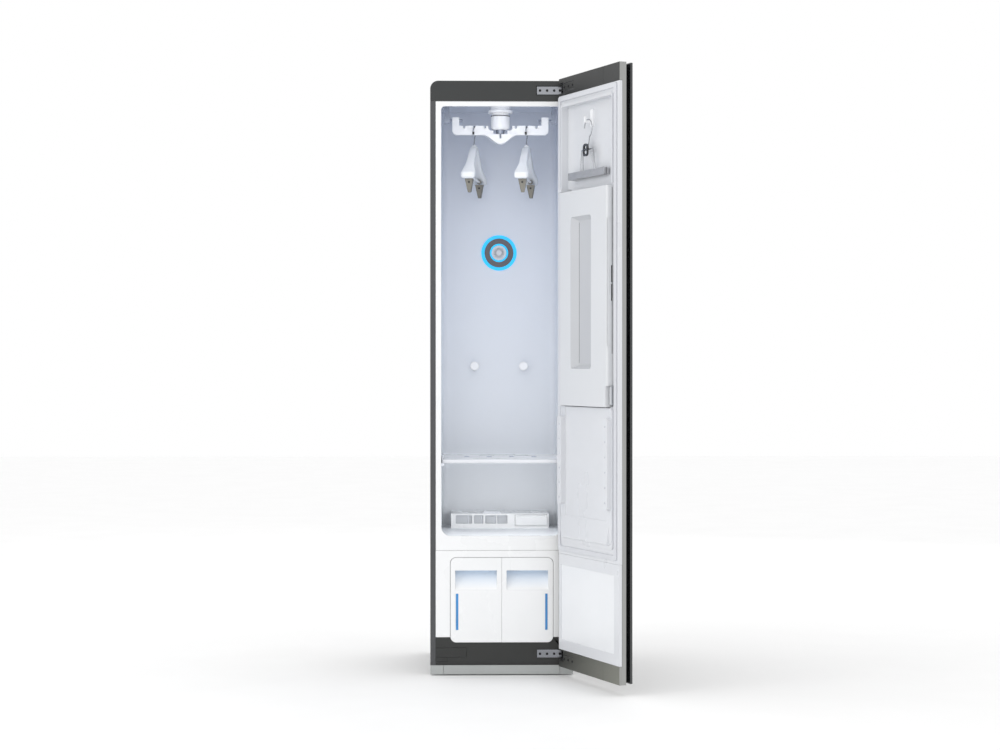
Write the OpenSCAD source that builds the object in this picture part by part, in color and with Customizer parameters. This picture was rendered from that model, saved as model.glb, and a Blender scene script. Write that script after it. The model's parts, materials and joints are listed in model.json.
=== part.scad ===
// Steam garment cabinet with a trouser press built into its door.
// The door stands open. X is to the right, Y to the back, Z up; the origin is on the
// floor under the middle of the cabinet.

/* [Cabinet] */
// Width of the cabinet and of its door
body_w = 445; // [420:1:560]
// Height of the cabinet from the floor
body_h = 1850; // [1700:5:2300]
// Depth of the cabinet without the door
body_d = 537; // [530:1:680]
// Thickness of the steel wrap
sheet = 1; // [0.8:0.1:2]
// Height of the dark front header
header_h = 64; // [56:1:90]
// Radius of the two upper edges
header_r = 25; // [10:1:40]
// Width of the steel strip at each side of the front
side_trim = 16.5; // [12:0.5:24]
// Height of the dark fascia's top edge
fascia_top = 118.5; // [112:0.5:140]
// Height of the lower front panel's top edge
lower_top = 388.5; // [380:0.5:410]
// Joint between neighbouring front panels
seam = 0.5; // [0.3:0.1:1.5]
// Thickness of the front plastic panels
panel_t = 12; // [8:1:16]

/* [Plinth and feet] */
// Gap under the plinth
plinth_gap = 3; // [2:0.5:8]
// Height of the plinth's top edge
plinth_top = 31.5; // [28:0.5:40]
// Width of each plinth end piece
plinth_end = 41; // [30:1:60]
// Radius of a foot
foot_r = 16; // [12:1:22]

/* [Chamber] */
// Clear width of the chamber
chamber_w = 377; // [370:1:385]
// Depth of the chamber behind the front plane
chamber_d = 440; // [420:1:450]
// Height of the chamber's floor
chamber_z = 434; // [425:1:460]
// Distance of the chamber's ceiling below the top
ceiling_drop = 49; // [46:1:70]
// Height of the lip that hangs at the front of the ceiling
lip_h = 30; // [15:1:40]
// Wall of the chamber liner
liner_t = 2.5; // [2:0.5:4]
// Height of the vent's centre above the chamber floor
vent_up = 903; // [600:1:1100]
// Height of the pegs above the chamber floor
peg_up = 528; // [300:1:700]
// Half the distance between the pegs
peg_x = 81; // [40:1:120]

/* [Hanger drive] */
// Distance of the hanger bar behind the front plane
bar_in = 220; // [200:1:240]
// Half the length of the hanger bar
bar_half = 154; // [140:1:158]
// Thickness of the hanger bar
bar_t = 24; // [20:1:28]
// Height of the hanger bar's beam
beam_h = 29; // [24:1:34]
// Distance of the beam's top edge below the ceiling
beam_drop = 68; // [64:1:80]
// Radius of the crank pin's circle
crank_e = 10; // [8:0.5:12]
// Radius of the crank pin
crank_pin_r = 2.2; // [1.8:0.1:2.6]
// Distance of each garment hanger from the middle of the bar
hanger_x = 84; // [70:1:100]

/* [Shelf] */
// Height of the shelf above the chamber floor
shelf_up = 225; // [120:1:300]
// Thickness of the shelf
shelf_t = 14; // [10:1:18]
// Depth of the shelf
shelf_d = 385; // [340:1:395]

/* [Tanks] */
// Width of one tank
tank_w = 159.4; // [150:0.1:165]
// Height of a tank
tank_h = 264; // [240:1:266]
// Depth of a tank
tank_d = 165; // [140:1:180]
// Height of a tank's underside
tank_z = 102.5; // [100:0.5:110]
// Wall of a tank
tank_wall = 2.5; // [2:0.5:4]

/* [Door] */
// Angle at which the door stands open
door_open = 111.5; // [95:0.5:118]
// Height of the door's lower edge
door_z = 33; // [32:1:40]
// Gap between the door's inner face and the cabinet
gasket_gap = 5; // [5:0.5:7]
// Thickness of the door's frame
frame_t = 22.3; // [20:0.1:26]
// Thickness of the recessed core behind the glass
core_t = 12.8; // [11:0.1:16]
// Thickness of the glass front
glass_t = 7.7; // [5:0.1:9]
// Height of the dark band at the top and the bottom of the door
band_h = 54; // [50:1:60]
// Distance of the hinge pin from the door's hinge end
pin_in = 20; // [18:0.5:22]
// Distance of the hinge pin behind the door's inner face
pin_deep = 27; // [25:0.5:28]
// Radius of the hinge pin
pin_r = 4; // [3:0.1:4]
// Width of the raised inner panel of the door
dike_w = 364; // [350:1:366]
// Height of the inner panel's ledges over the inner face
dike_q = 19.5; // [15:0.5:20]

/* [Trouser press] */
// Width of the press cover
press_w = 337; // [300:1:338]
// Height of the press cover
press_h = 651; // [560:1:652]
// Height of the press cover's lower edge
press_z = 843; // [842:1:900]
// Depth of the recess in the door's liner
tub_deep = 16; // [14:0.5:17]
// Thickness of the fixed ironing bed
bed_t = 7; // [5:0.5:8]
// Thickness of the moving ironing plate
pad_t = 5; // [3:0.5:5]
// Radius of the press's hinge pins
press_pin_r = 3; // [2:0.1:3.5]

/* [Trouser hanger] */
// Length of the clamp bars
clamp_w = 255; // [200:1:260]
// Height of the clamp bars
clamp_h = 22; // [16:1:26]
// Height of the clamp bars' lower edge
clamp_z = 1530; // [1528:1:1540]
// Radius of the hook's bend
hook_r = 27; // [20:1:28]
// Radius of the wire
wire_r = 1.6; // [1.2:0.1:2]

/* [Hidden] */
$fn = 64;

front_y = -body_d / 2;
back_y = body_d / 2;
half_w = body_w / 2;
header_z = body_h - header_h;
base_z = plinth_top + seam;
frame_z = lower_top + seam;
inner_x = half_w - side_trim - 0.3;
chamber_top = body_h - ceiling_drop;
open_top = chamber_top - lip_h;
chamber_x = chamber_w / 2;
wall_y = front_y + chamber_d;
corner_r = 22;
vent_z = chamber_z + vent_up;
fit = 0.05;
gap = 0.3;

// hanger drive
bar_y = front_y + bar_in;
beam_z1 = chamber_top - beam_drop;
beam_z0 = beam_z1 - beam_h;
cup_z = beam_z1 - 13;
rod_z = beam_z1 + 17;
hook_axis_z = beam_z1 - 2;
hang_r = 20;
hang_wire = 2;
bulge_drop = 29;
pin_bottom = beam_z0 - bulge_drop + 9;

// door, in its own frame: u runs from the hinge end, q stands out of the inner face
pin_x = half_w - pin_in;
pin_y = front_y - gasket_gap - pin_deep;
door_top = body_h;
band_low = door_z + band_h;
band_high = door_top - band_h;
liner_split = lower_top - 4;
chamfer_u = 16;
core_q = -frame_t - core_t;
glass_q = core_q - glass_t;
dike_u = body_w / 2 + 2.5 - dike_w / 2;
dike_u1 = dike_u + dike_w;
dike_z0 = liner_split + 41;
dike_z1 = door_top - 83;
dike_low = chamber_z + 3;
ridge_q = 6.5;
tub_u0 = dike_u + 7;
tub_u1 = dike_u1 - 3.5;
press_u0 = dike_u + 20;
press_u1 = press_u0 + press_w;
press_top = press_z + press_h;
tub_z0 = press_z - 3;
tub_z1 = dike_z1 - 8;
ledge_z0 = dike_z0 + 116;
ledge_z1 = tub_z0 - 30;
press_pin_u = press_u0 + 5;
lever_u = press_u1 - 1.5;
lever_q = dike_q - 4.2;
press_pin_q = dike_q - 5.5;
pad_q = -tub_deep + bed_t + 2;
notch_u = 46;
notch_h = 32;
arm_h = 14;
notch_top_z = door_top - 46;
notch_low_z = door_z + 18;

// tanks
tank_x = tank_w + 0.6;
tank_top = tank_z + tank_h;
tank_r = 18;

// intake unit on the chamber floor
intake_in = 300;
intake_top = chamber_z + 48;
intake_x = 159;
bay_gap = 0.5;
header_d = panel_t - 0.4;

module rounded(x0, x1, y0, y1, r) {
    translate([x0 + r, y0]) square([x1 - x0 - 2 * r, y1 - y0]);
    translate([x0, y0 + r]) square([x1 - x0, y1 - y0 - 2 * r]);
    for (x = [x0 + r, x1 - r], y = [y0 + r, y1 - r]) translate([x, y]) circle(r);
}
// An outline drawn in X and Z, as thick as y0 to y1
module upright(y0, y1) {
    translate([0, y1, 0]) rotate([90, 0, 0]) linear_extrude(y1 - y0) children();
}
module box(x0, x1, y0, y1, z0, z1) {
    translate([x0, y0, z0]) cube([x1 - x0, y1 - y0, z1 - z0]);
}
module rod_y(x, z, r, y0, y1) {
    translate([x, y1, z]) rotate([90, 0, 0]) cylinder(r = r, h = y1 - y0);
}
module rod_x(x0, x1, y, z, r) {
    translate([x0, y, z]) rotate([0, 90, 0]) cylinder(r = r, h = x1 - x0);
}
module rod(a, b, r) {
    d = b - a;
    n = norm(d);
    translate(a) rotate([0, acos(d[2] / n), atan2(d[1], d[0])]) cylinder(r = r, h = n, $fn = 24);
}
module both_sides() {
    children();
    mirror([1, 0, 0]) children();
}
// The door's own frame has its origin on the hinge pin
module on_door() {
    translate([pin_x, pin_y, 0]) rotate([0, 0, door_open]) children();
}
module ubox(u0, u1, q0, q1, z0, z1) {
    box(pin_in - u1, pin_in - u0, pin_deep + q0, pin_deep + q1, z0, z1);
}
module uplate(u0, u1, z0, z1, r, q0, q1) {
    upright(pin_deep + q0, pin_deep + q1) rounded(pin_in - u1, pin_in - u0, z0, z1, r);
}
module urod(u, q, r, z0, z1) {
    translate([pin_in - u, pin_deep + q, z0]) cylinder(r = r, h = z1 - z0);
}
function upoint(u, q, z) = [pin_in - u, pin_deep + q, z];

// ---- cabinet shell ----
module side_panel() {
    translate([0, 0, base_z]) linear_extrude(header_z - seam - base_z) polygon([
        [-half_w, front_y], [-half_w + side_trim, front_y],
        [-half_w + side_trim, front_y + sheet], [-half_w + sheet, front_y + sheet],
        [-half_w + sheet, back_y - sheet], [-half_w + side_trim, back_y - sheet],
        [-half_w + side_trim, back_y], [-half_w, back_y]]);
}
module side_panel_left() {
    color("#55575a") side_panel();
}
module side_panel_right() {
    color("#55575a") mirror([1, 0, 0]) side_panel();
}
module back_panel() {
    vent_rows = 9;
    x = half_w - sheet - gap;
    y1 = back_y - sheet - 2 * gap;
    color("#8d9093") difference() {
        box(-x, x, y1 - sheet, y1, base_z, header_z - seam);
        for (i = [0:vent_rows - 1], s = [-1, 1])
            upright(y1 - 3, y1 + 1)
                rounded(s * 90 - 55, s * 90 + 55, 90 + i * 16, 96 + i * 16, 2.9);
        rod_y(-150, 60, 11, y1 - 3, y1 + 1);
    }
}
module cover_outline(inset) {
    r = header_r - inset;
    x = half_w - inset;
    translate([-x, header_z]) square([2 * x, header_h - header_r]);
    translate([-half_w + header_r, header_z]) square([body_w - 2 * header_r, header_h - inset]);
    for (s = [-1, 1]) translate([s * (half_w - header_r), body_h - header_r]) circle(r);
}
module top_cover() {
    color("#4a4b4b") difference() {
        upright(front_y + panel_t, back_y) cover_outline(0);
        upright(front_y + panel_t - 1, back_y - 3) {
            cover_outline(2);
            translate([-half_w + 2, header_z - 1]) square([body_w - 4, 3]);
        }
    }
}
module front_header() {
    color("#4a4b4b") difference() {
        upright(front_y, front_y + header_d) cover_outline(0);
        box(-half_w + 30, half_w - 30, front_y + 8, front_y + 30, header_z + 22, body_h - 22);
        hinge_leaf_seat(notch_top_z + notch_h / 2);
    }
}
module hinge_leaf_seat(z) {
    box(108, pin_x + 3, front_y - 1, front_y + 4, z - 14, z + 14);
}
module front_frame() {
    color("#f2f3f5") upright(front_y, front_y + panel_t) difference() {
        translate([-inner_x, frame_z]) square([2 * inner_x, header_z - seam - frame_z]);
        rounded(-chamber_x, chamber_x, chamber_z + 66, open_top, 12);
        rounded(-chamber_x, chamber_x, chamber_z, chamber_z + 400, 30);
    }
}
module lower_front_panel() {
    color("#f2f3f5") upright(front_y, front_y + panel_t) difference() {
        translate([-inner_x, fascia_top + seam])
            square([2 * inner_x, lower_top - fascia_top - seam]);
        rounded(-tank_x - 1, tank_x + 1, tank_z - 1, tank_top + 1.2, tank_r + 1);
    }
}
module base_fascia() {
    color("#3f403f") difference() {
        upright(front_y, front_y + panel_t) difference() {
            translate([-inner_x, base_z]) square([2 * inner_x, fascia_top - base_z]);
            rounded(-tank_x - 1, tank_x + 1, tank_z - 1, tank_top, tank_r + 1);
        }
        hinge_leaf_seat(notch_low_z + notch_h / 2);
        box(-half_w, -109, front_y - 1, front_y + 4, 56.5, 86);
        box(-half_w, -167.9, front_y - 1, front_y + 1.3, 42.3, 57);
        box(-inner_x - 1, inner_x + 1, front_y - 1, front_y + 1, base_z - 1, 40.5);
    }
}
module plinth() {
    color("#aeb1b0") {
        upright(front_y, front_y + 20) rounded(-half_w + plinth_end + 0.6, half_w - plinth_end - 0.6,
            plinth_gap, plinth_top, 1);
        for (s = [-1, 1]) {
            x0 = s < 0 ? -half_w : half_w - plinth_end;
            upright(front_y, front_y + 20) rounded(x0, x0 + plinth_end, plinth_gap, plinth_top, 1);
        }
    }
}
module base_plate() {
    color("#77797b") difference() {
        box(-half_w + sheet + gap, half_w - sheet - gap, front_y + panel_t + gap,
            back_y - 3 * sheet, base_z, base_z + 4);
        for (x = [-180, 180], y = [front_y + 45, back_y - 40])
            translate([x, y, base_z - 1]) cylinder(r = 5 + fit, h = 10);
    }
}
module hinge_blank_cover() {
    color("#3a3b3a") {
        box(-half_w + side_trim + 0.4, -109.8, front_y, front_y + 3.6, 57, 85.5);
        upright(front_y, front_y + 0.9) rounded(-205, -168.5, 43, 56.3, 4);
    }
}

// ---- hinges: a leaf on the cabinet, a cranked arm and the pin ----
module hinge_bracket(z) {
    leaf_h = 25;
    zc = z + notch_h / 2;
    box(109.5, pin_x, front_y + 0.2, front_y + 3.8, zc - leaf_h / 2, zc + leaf_h / 2);
    translate([pin_x, pin_y, zc - arm_h / 2]) linear_extrude(arm_h) {
        circle(7.5);
        translate([-18, -7.5]) square([18, 15]);
        translate([-18, 0]) square([14, front_y + 1 - pin_y]);
    }
    translate([pin_x, pin_y, z - 8]) cylinder(r = pin_r, h = notch_h + 14);
}
module hinge_brackets() {
    color("#b9bcbf") {
        hinge_bracket(notch_top_z);
        hinge_bracket(notch_low_z);
    }
}

// ---- chamber ----
module chamber_outline(x, y1, r) {
    translate([-x, front_y]) square([2 * x, y1 - front_y - r]);
    translate([-x + r, front_y]) square([2 * x - 2 * r, y1 - front_y]);
    for (s = [-1, 1]) translate([s * (x - r), y1 - r]) circle(r);
}
module chamber_liner() {
    x = chamber_x + liner_t;
    color("#c9ced8") difference() {
        translate([0, 0, chamber_z - liner_t])
            linear_extrude(chamber_top - chamber_z + 2 * liner_t)
            chamber_outline(x, wall_y + liner_t, corner_r + liner_t);
        translate([0, 0, chamber_z]) linear_extrude(chamber_top - chamber_z)
            chamber_outline(chamber_x, wall_y, corner_r);
        box(-x - 1, x + 1, front_y - 1, front_y + panel_t, chamber_z - 10, chamber_top + 10);
        translate([0, bar_y, chamber_top - 1]) cylinder(r = 34.5, h = 10);
        rod_y(0, vent_z, 21.3, wall_y - 1, wall_y + 10);
        box(-100, 100, wall_y - 1, wall_y + 10, chamber_z + 8, chamber_z + 46);
    }
}
module steam_vent() {
    slots = 16;
    color("#64626b") {
        difference() {
            rod_y(0, vent_z, 47.5, wall_y - 6, wall_y);
            rod_y(0, vent_z, 30.6, wall_y - 7, wall_y - 2);
            rod_y(0, vent_z, 19, wall_y - 3, wall_y + 1);
        }
        difference() {
            rod_y(0, vent_z, 21, wall_y, wall_y + 16);
            rod_y(0, vent_z, 19, wall_y - 1, wall_y + 17);
        }
    }
    color("#dfe1e5") difference() {
        rod_y(0, vent_z, 24.2, wall_y - 5, wall_y - 2);
        for (i = [0:slots - 1]) translate([0, 0, vent_z]) rotate([0, i * 360 / slots, 0])
            box(-0.9, 0.9, wall_y - 6, wall_y, 9, 18);
    }
}
module vent_light_rings() {
    color("#25c4f4") {
        difference() {
            rod_y(0, vent_z, 58.5, wall_y - 3.5, wall_y);
            rod_y(0, vent_z, 47.8, wall_y - 4, wall_y + 1);
        }
        difference() {
            rod_y(0, vent_z, 30.3, wall_y - 5.5, wall_y - 2);
            rod_y(0, vent_z, 24.6, wall_y - 6, wall_y);
        }
    }
}
module garment_pegs() {
    color("#e4e6ea") both_sides() {
        z = chamber_z + peg_up;
        rod_y(peg_x, z, 15, wall_y - 3, wall_y);
        rod_y(peg_x, z, 8, wall_y - 32, wall_y - 3);
        translate([peg_x, wall_y - 32, z]) rotate([90, 0, 0]) cylinder(r1 = 10, r2 = 13, h = 5);
        rod_y(peg_x, z, 13, wall_y - 42, wall_y - 37);
    }
}
module ceiling_lamp() {
    color("#fbfdff") box(-150, 150, front_y + panel_t + 2, front_y + panel_t + 14,
        chamber_top - 7, chamber_top);
}
module drive_housing() {
    r = 12;
    color("#eceef1") difference() {
        translate([0, bar_y, 0]) rotate_extrude() {
            translate([0, cup_z]) square([30 - r, 43.5]);
            translate([0, cup_z + r]) square([30, 43.5 - r]);
            translate([30 - r, cup_z + r]) circle(r);
            translate([0, cup_z + 43]) square([27, 12]);
            translate([0, cup_z + 54]) square([39.5, 8]);
            translate([0, cup_z + 61]) square([32, chamber_top + 2.5 - cup_z - 61]);
        }
        translate([0, bar_y, cup_z - 20]) cylinder(r = 5 + fit, h = 130);
    }
}
module drive_motor() {
    color("#6d6f72") difference() {
        translate([0, bar_y, chamber_top + liner_t + gap]) union() {
            cylinder(r = 32, h = 32);
            translate([-42, -12, 0]) cube([84, 24, 4]);
        }
        translate([0, bar_y, chamber_top]) cylinder(r = 5 + fit, h = 16);
    }
}
module drive_crank() {
    color("#b8bcc6") translate([0, bar_y, 0]) {
        translate([0, 0, cup_z - 0.5]) cylinder(r = 5, h = chamber_top + 14 - cup_z);
        translate([0, 0, cup_z - 12]) cylinder(r1 = 12.6, r2 = 14.5, h = 11.5);
        translate([0, -crank_e, pin_bottom + 1]) cylinder(r = crank_pin_r, h = cup_z - 12 - pin_bottom);
    }
}
// The bar that swings the clothes: a beam, two arms and a bulge round the crank pin
module bar_outline() {
    x = bar_half;
    bulge = 56;
    translate([-x + 14, beam_z0]) square([2 * x - 28, beam_h]);
    for (s = [-1, 1]) {
        translate([s * (x - 14), beam_z0 + 14]) circle(14);
        translate([s > 0 ? x - 22 : -x, beam_z0 + 14]) square([22, rod_z + 10 - beam_z0 - 14]);
        translate([s > 0 ? x - 28 : -x + 14, beam_z0]) square([14, beam_h]);
    }
    polygon(concat([for (a = [-180:15:180])
        [bulge * a / 180, beam_z0 - bulge_drop * (1 + cos(a)) / 2]],
        [[bulge, beam_z0 + 10], [-bulge, beam_z0 + 10]]));
}
module hanger_notch(x) {
    w = 7.2;
    difference() {
        box(x - w / 2, x + w / 2, bar_y - bar_t, bar_y + bar_t, beam_z1 - 9, beam_z1 + 1);
        rod_x(x - w, x + w, bar_y, hook_axis_z - hang_r, hang_r - hang_wire - gap);
    }
}
module moving_hanger() {
    dip = 30 + crank_e * sin(45) + 1.5;
    pocket = 14.5 + crank_e * sin(45) + 1;
    color("#eceef2") difference() {
        union() {
            upright(bar_y - bar_t / 2, bar_y + bar_t / 2) bar_outline();
            upright(bar_y - 18, bar_y + 18) intersection() {
                bar_outline();
                translate([-50, beam_z0 - 60]) square([100, 62]);
            }
        }
        upright(bar_y - 30, bar_y + 30) rounded(-dip, dip, cup_z - 2.5, beam_z1 + 40, 10);
        upright(bar_y - 30, bar_y + 30) rounded(-pocket, pocket, cup_z - 14, cup_z + 8, 3);
        box(-2.9, 2.9, bar_y - 14, bar_y + 14, pin_bottom - 1, cup_z);
        box(-2.9, 2.9, bar_y - 30, bar_y, pin_bottom + 8, cup_z);
        rod_x(-bar_half - 5, bar_half + 5, bar_y, rod_z, 4 + fit);
        for (x = [hanger_x, 49.5, 116], s = [-1, 1]) hanger_notch(s * x);
    }
}
module hanger_supports() {
    color("#9aa0ac") both_sides() {
        x = bar_half + 10;
        box(x, x + 16, bar_y - 9, bar_y + 9, rod_z - 9, chamber_top);
        rod_x(bar_half - 32, x, bar_y, rod_z, 4);
    }
}
module shelf_rails() {
    z = chamber_z + shelf_up;
    color("#d5d9e0") both_sides()
        box(chamber_x - 9, chamber_x, front_y + 40, wall_y - corner_r - 10, z - 9, z - gap);
}
module shelf() {
    z = chamber_z + shelf_up;
    x = chamber_x - 1.3;
    y0 = front_y + 16;
    color("#e6e8ec") difference() {
        translate([0, 0, z]) linear_extrude(shelf_t) rounded(-x, x, y0, y0 + shelf_d, 9);
        for (i = [0:3])
            translate([-108 + i * 72, y0 + 205, z + shelf_t - 4]) cylinder(r = 8, h = 5);
        translate([0, 0, z - 1]) linear_extrude(shelf_t - 2)
            rounded(-x + 4, x - 4, y0 + 4, y0 + 60, 6);
    }
}

// ---- garment hangers: wide shoulders, a trouser bar, a wire hook and two clips ----
module hanger_clip() {
    rotate([90, 0, 0]) translate([0, 0, -11]) linear_extrude(22) {
        circle(7);
        translate([-5, -12]) square([10, 12]);
        polygon([[-14, -9], [14, -9], [7, -52], [-3, -52]]);
    }
}
module garment_hanger(x) {
    turn = -8;
    drop = hang_r;
    r = hang_wire;
    color("#eef0f3") translate([x, bar_y, hook_axis_z - drop]) rotate([0, 0, turn]) {
        for (s = [-1, 1]) {
            hull() for (p = [[8, -56], [92, -108]])
                translate([0, s * p[0], p[1]]) sphere(r = 12, $fn = 20);
            hull() {
                translate([0, s * 92, -108]) sphere(r = 12, $fn = 20);
                for (k = [-1, 1]) translate([k * 11, s * 147, -147]) sphere(r = 11.5, $fn = 20);
            }
        }
        rod([0, -140, -148], [0, 140, -148], 4);
    }
    color("#a5a8ab") translate([x, bar_y, hook_axis_z - drop]) {
        a = [0, drop * cos(62), -drop * sin(62)];
        rotate([90, 0, 90]) rotate([0, 0, -62])
            rotate_extrude(angle = 262) translate([drop, 0]) circle(r, $fn = 24);
        rod(a, [0, 0, -38], r);
        translate(a) sphere(1.05 * r, $fn = 24);
        translate([0, 0, -38]) sphere(1.05 * r, $fn = 24);
        translate([0, 0, -46]) cylinder(r = r, h = 8);
        translate([0, 0, -46]) cylinder(r = 5.5, h = 4);
        for (s = [-1, 1]) rotate([0, 0, turn]) translate([0, s * 124, -148]) hanger_clip();
    }
}
module left_hanger() {
    garment_hanger(-hanger_x);
}
module right_hanger() {
    garment_hanger(hanger_x);
}

// ---- tanks ----
module tank_bay() {
    x = tank_x + 2;
    color("#b7bac0") difference() {
        box(-x - 2, x + 2, front_y + panel_t + gap, front_y + tank_d + 20, tank_z - 2.5, tank_top + 6);
        box(-x, x, front_y, front_y + tank_d + 18, tank_z - bay_gap, tank_top + 4);
    }
}
module tank(x0, window_x) {
    x1 = x0 + tank_w;
    xc = (x0 + x1) / 2;
    grip_top = tank_z + 224;
    difference() {
        upright(front_y, front_y + tank_d) tank_outline(x0, x1, 0);
        upright(front_y + 35, front_y + tank_d - tank_wall) tank_outline(x0, x1, tank_wall);
        upright(front_y + tank_wall, front_y + 36) difference() {
            tank_outline(x0, x1, tank_wall);
            rounded(xc - 70, xc + 70, grip_top - 67, grip_top + 17, 6);
        }
        translate([xc - 65, 0, 0]) rotate([90, 0, 90]) linear_extrude(130) polygon([
            [front_y - 1, grip_top - 61], [front_y + 4, grip_top - 57], [front_y + 31, grip_top - 12],
            [front_y + 31, grip_top + 10], [front_y + 8, grip_top + 10], [front_y + 8, grip_top],
            [front_y - 1, grip_top]]);
        upright(front_y - 1, front_y + 1.5)
            rounded(window_x - 4.2, window_x + 4.2, tank_z + 38.5, tank_z + 152, 1.5);
        translate([xc, front_y + 120, tank_top - 10]) cylinder(r = 18, h = 20);
    }
}
module tank_outline(x0, x1, inset) {
    left = x0 < -1;
    r = tank_r - inset;
    a = x0 + inset;
    b = x1 - inset;
    difference() {
        translate([a, tank_z + inset]) square([b - a, tank_h - 2 * inset]);
        for (low = [0, 1]) {
            cx = left ? x0 + tank_r : x1 - tank_r;
            cz = low == 1 ? tank_z + tank_r : tank_top - tank_r;
            difference() {
                translate([left ? x0 - 1 : cx, low == 1 ? tank_z - 1 : cz])
                    square([tank_r + 1, tank_r + 1]);
                translate([cx, cz]) circle(r);
            }
        }
    }
}
module drain_tank() {
    color("#eceef1") tank(-tank_x + 0.3, -139.3);
}
module water_tank() {
    color("#eceef1") tank(0.3, 139.3);
}

// ---- intake unit, filter and aroma cartridge ----
module intake_cover() {
    y0 = front_y + intake_in;
    color("#f0f1f3") difference() {
        box(-intake_x, intake_x, y0, wall_y - gap, chamber_z, intake_top);
        box(-intake_x + 3, intake_x - 3, y0 + 3, wall_y + 1, chamber_z - 1, intake_top - 2.5);
        for (w = [[-143.6, -90], [-84, -53.5], [-47.7, -11.6], [-8.6, 24.9]])
            upright(y0 - 1, y0 + 4) rounded(w[0], w[1], chamber_z + 15.5, chamber_z + 43, 3);
        box(49, 155, y0 - 1, y0 + 4, chamber_z + 7.5, chamber_z + 45);
        box(-150, 31, y0 + 5, y0 + 13, intake_top - 4, intake_top + 1);
    }
}
module lint_filter() {
    y0 = front_y + intake_in;
    color("#b9bec7") difference() {
        union() {
            box(-148, 29, y0 + 6, y0 + 12, chamber_z + 5, intake_top);
            upright(y0 + 6, y0 + 12) rounded(-55, 3, intake_top - 20, intake_top + 7, 5);
        }
        for (i = [0:3], y = [y0 + 5, y0 + 9.5]) box(-144 + i * 43.5, -104.5 + i * 43.5, y, y + 3.5,
            chamber_z + 10, chamber_z + 41);
    }
}
module aroma_cartridge() {
    y0 = front_y + intake_in;
    color("#f0f1f3") difference() {
        box(50, 154, y0 + 0.2, y0 + 90, chamber_z + 8.5, chamber_z + 44);
        box(53, 151, y0 + 4, y0 + 87, chamber_z + 11.5, chamber_z + 45);
        box(58, 146, y0 - 1, y0 + 2.5, chamber_z + 37, chamber_z + 41);
    }
}

// ---- machine space ----
module air_duct() {
    color("#c8cbd0") difference() {
        box(-62, 62, wall_y + liner_t + gap, back_y - 8, 250, vent_z + 60);
        box(-60, 60, wall_y + liner_t + gap + 2, back_y - 10, 252, vent_z + 58);
        rod_y(0, vent_z, 21.3, wall_y, wall_y + 8);
        box(-58, 58, wall_y, wall_y + 10, 258, chamber_z - 8);
    }
}
module compressor() {
    color("#2f3133") translate([-112, 150, base_z + 4]) {
        translate([0, 0, 12]) cylinder(r = 58, h = 130);
        intersection() {
            translate([0, 0, 142 - 50]) sphere(r = 76.5);
            translate([0, 0, 142]) cylinder(r = 58, h = 30);
        }
        for (a = [30:120:270]) rotate([0, 0, a]) {
            translate([45, -12, 12.5]) cube([30, 24, 4]);
            translate([66, 0, 0]) cylinder(r = 8, h = 14);
        }
    }
}
module heat_exchangers() {
    fins = 22;
    color("#b3b7bb") for (y = [-70, -15]) {
        for (i = [0:fins - 1]) box(-176 + i * 11, -175.2 + i * 11, y, y + 36, 250, 395);
        for (z = [268, 308, 348, 382])
            difference() {
                rod_x(-180, 60, y + 18, z, 5);
                for (i = [0:fins - 1]) box(-176 + i * 11, -175.2 + i * 11, y, y + 36, 250, 395);
            }
    }
}
module steam_generator() {
    color("#9fa3a6") difference() {
        union() {
            box(20, 190, 190, 255, base_z + 4, base_z + 94);
            translate([60, 222, base_z + 94]) cylinder(r = 9, h = 26);
            rod_x(190, 206, 222, base_z + 50, 7);
        }
        translate([60, 222, base_z + 60]) cylinder(r = 6, h = 80);
    }
}
module water_pumps() {
    color("#44474a") for (x = [-120, 120]) {
        rod_y(x, base_z + 42, 24, -72, -10);
        box(x - 20, x + 20, -72, -20, base_z + 4, base_z + 18.2);
        translate([x, -60, base_z + 64]) cylinder(r = 6, h = 26);
    }
}
module blower_housing() {
    color("#d3d6da") difference() {
        union() {
            translate([112, 98, 150]) cylinder(r = 78, h = 84);
            box(60, 112, 98, 176, 150, 234);
        }
        translate([112, 98, 153]) cylinder(r = 75, h = 78);
        box(63, 112, 98, 180, 153, 231);
        translate([112, 98, 230]) cylinder(r = 44, h = 10);
        translate([112, 98, 140]) cylinder(r = 4 + fit, h = 14);
    }
}
module blower_wheel() {
    blades = 24;
    color("#8a8f96") translate([112, 98, 0]) {
        translate([0, 0, 157]) cylinder(r = 62, h = 3);
        translate([0, 0, 144]) cylinder(r = 4, h = 40);
        difference() {
            translate([0, 0, 160]) cylinder(r = 14, h = 24);
            translate([0, 0, 159.9]) cylinder(r = 4, h = 25);
        }
        for (i = [0:blades - 1]) rotate([0, 0, i * 360 / blades])
            translate([50, 0, 159]) rotate([0, 0, 30]) translate([0, -0.8, 0]) cube([11, 1.6, 64]);
        difference() {
            translate([0, 0, 222]) cylinder(r = 62, h = 3);
            translate([0, 0, 221]) cylinder(r = 49, h = 5);
        }
    }
}
module control_board() {
    z = header_z + 31;
    color("#2f6b45") box(-150, -70, 40, 160, z, z + 1.6);
    color("#3a3c3e") {
        box(-140, -112, 60, 90, z + 1.6, z + 18);
        box(-100, -80, 100, 130, z + 1.6, z + 12);
        for (x = [-146, -74], y = [44, 156]) translate([x, y, z - 8.5]) cylinder(r = 2.5, h = 8.5);
        box(-152, -68, 38, 162, z - 11, z - 8.5);
    }
}
module power_inlet() {
    y1 = back_y - sheet - 2 * gap;
    color("#222426") difference() {
        union() {
            rod_y(-150, 60, 10.7, y1 - 14, back_y);
            rod_y(-150, 60, 15, y1 + 0.1, back_y);
            rod_y(-150, 60, 14, y1 - 12, y1 - 4);
        }
        rod_y(-150, 60, 4, back_y - 20, back_y + 10);
    }
}
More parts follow.
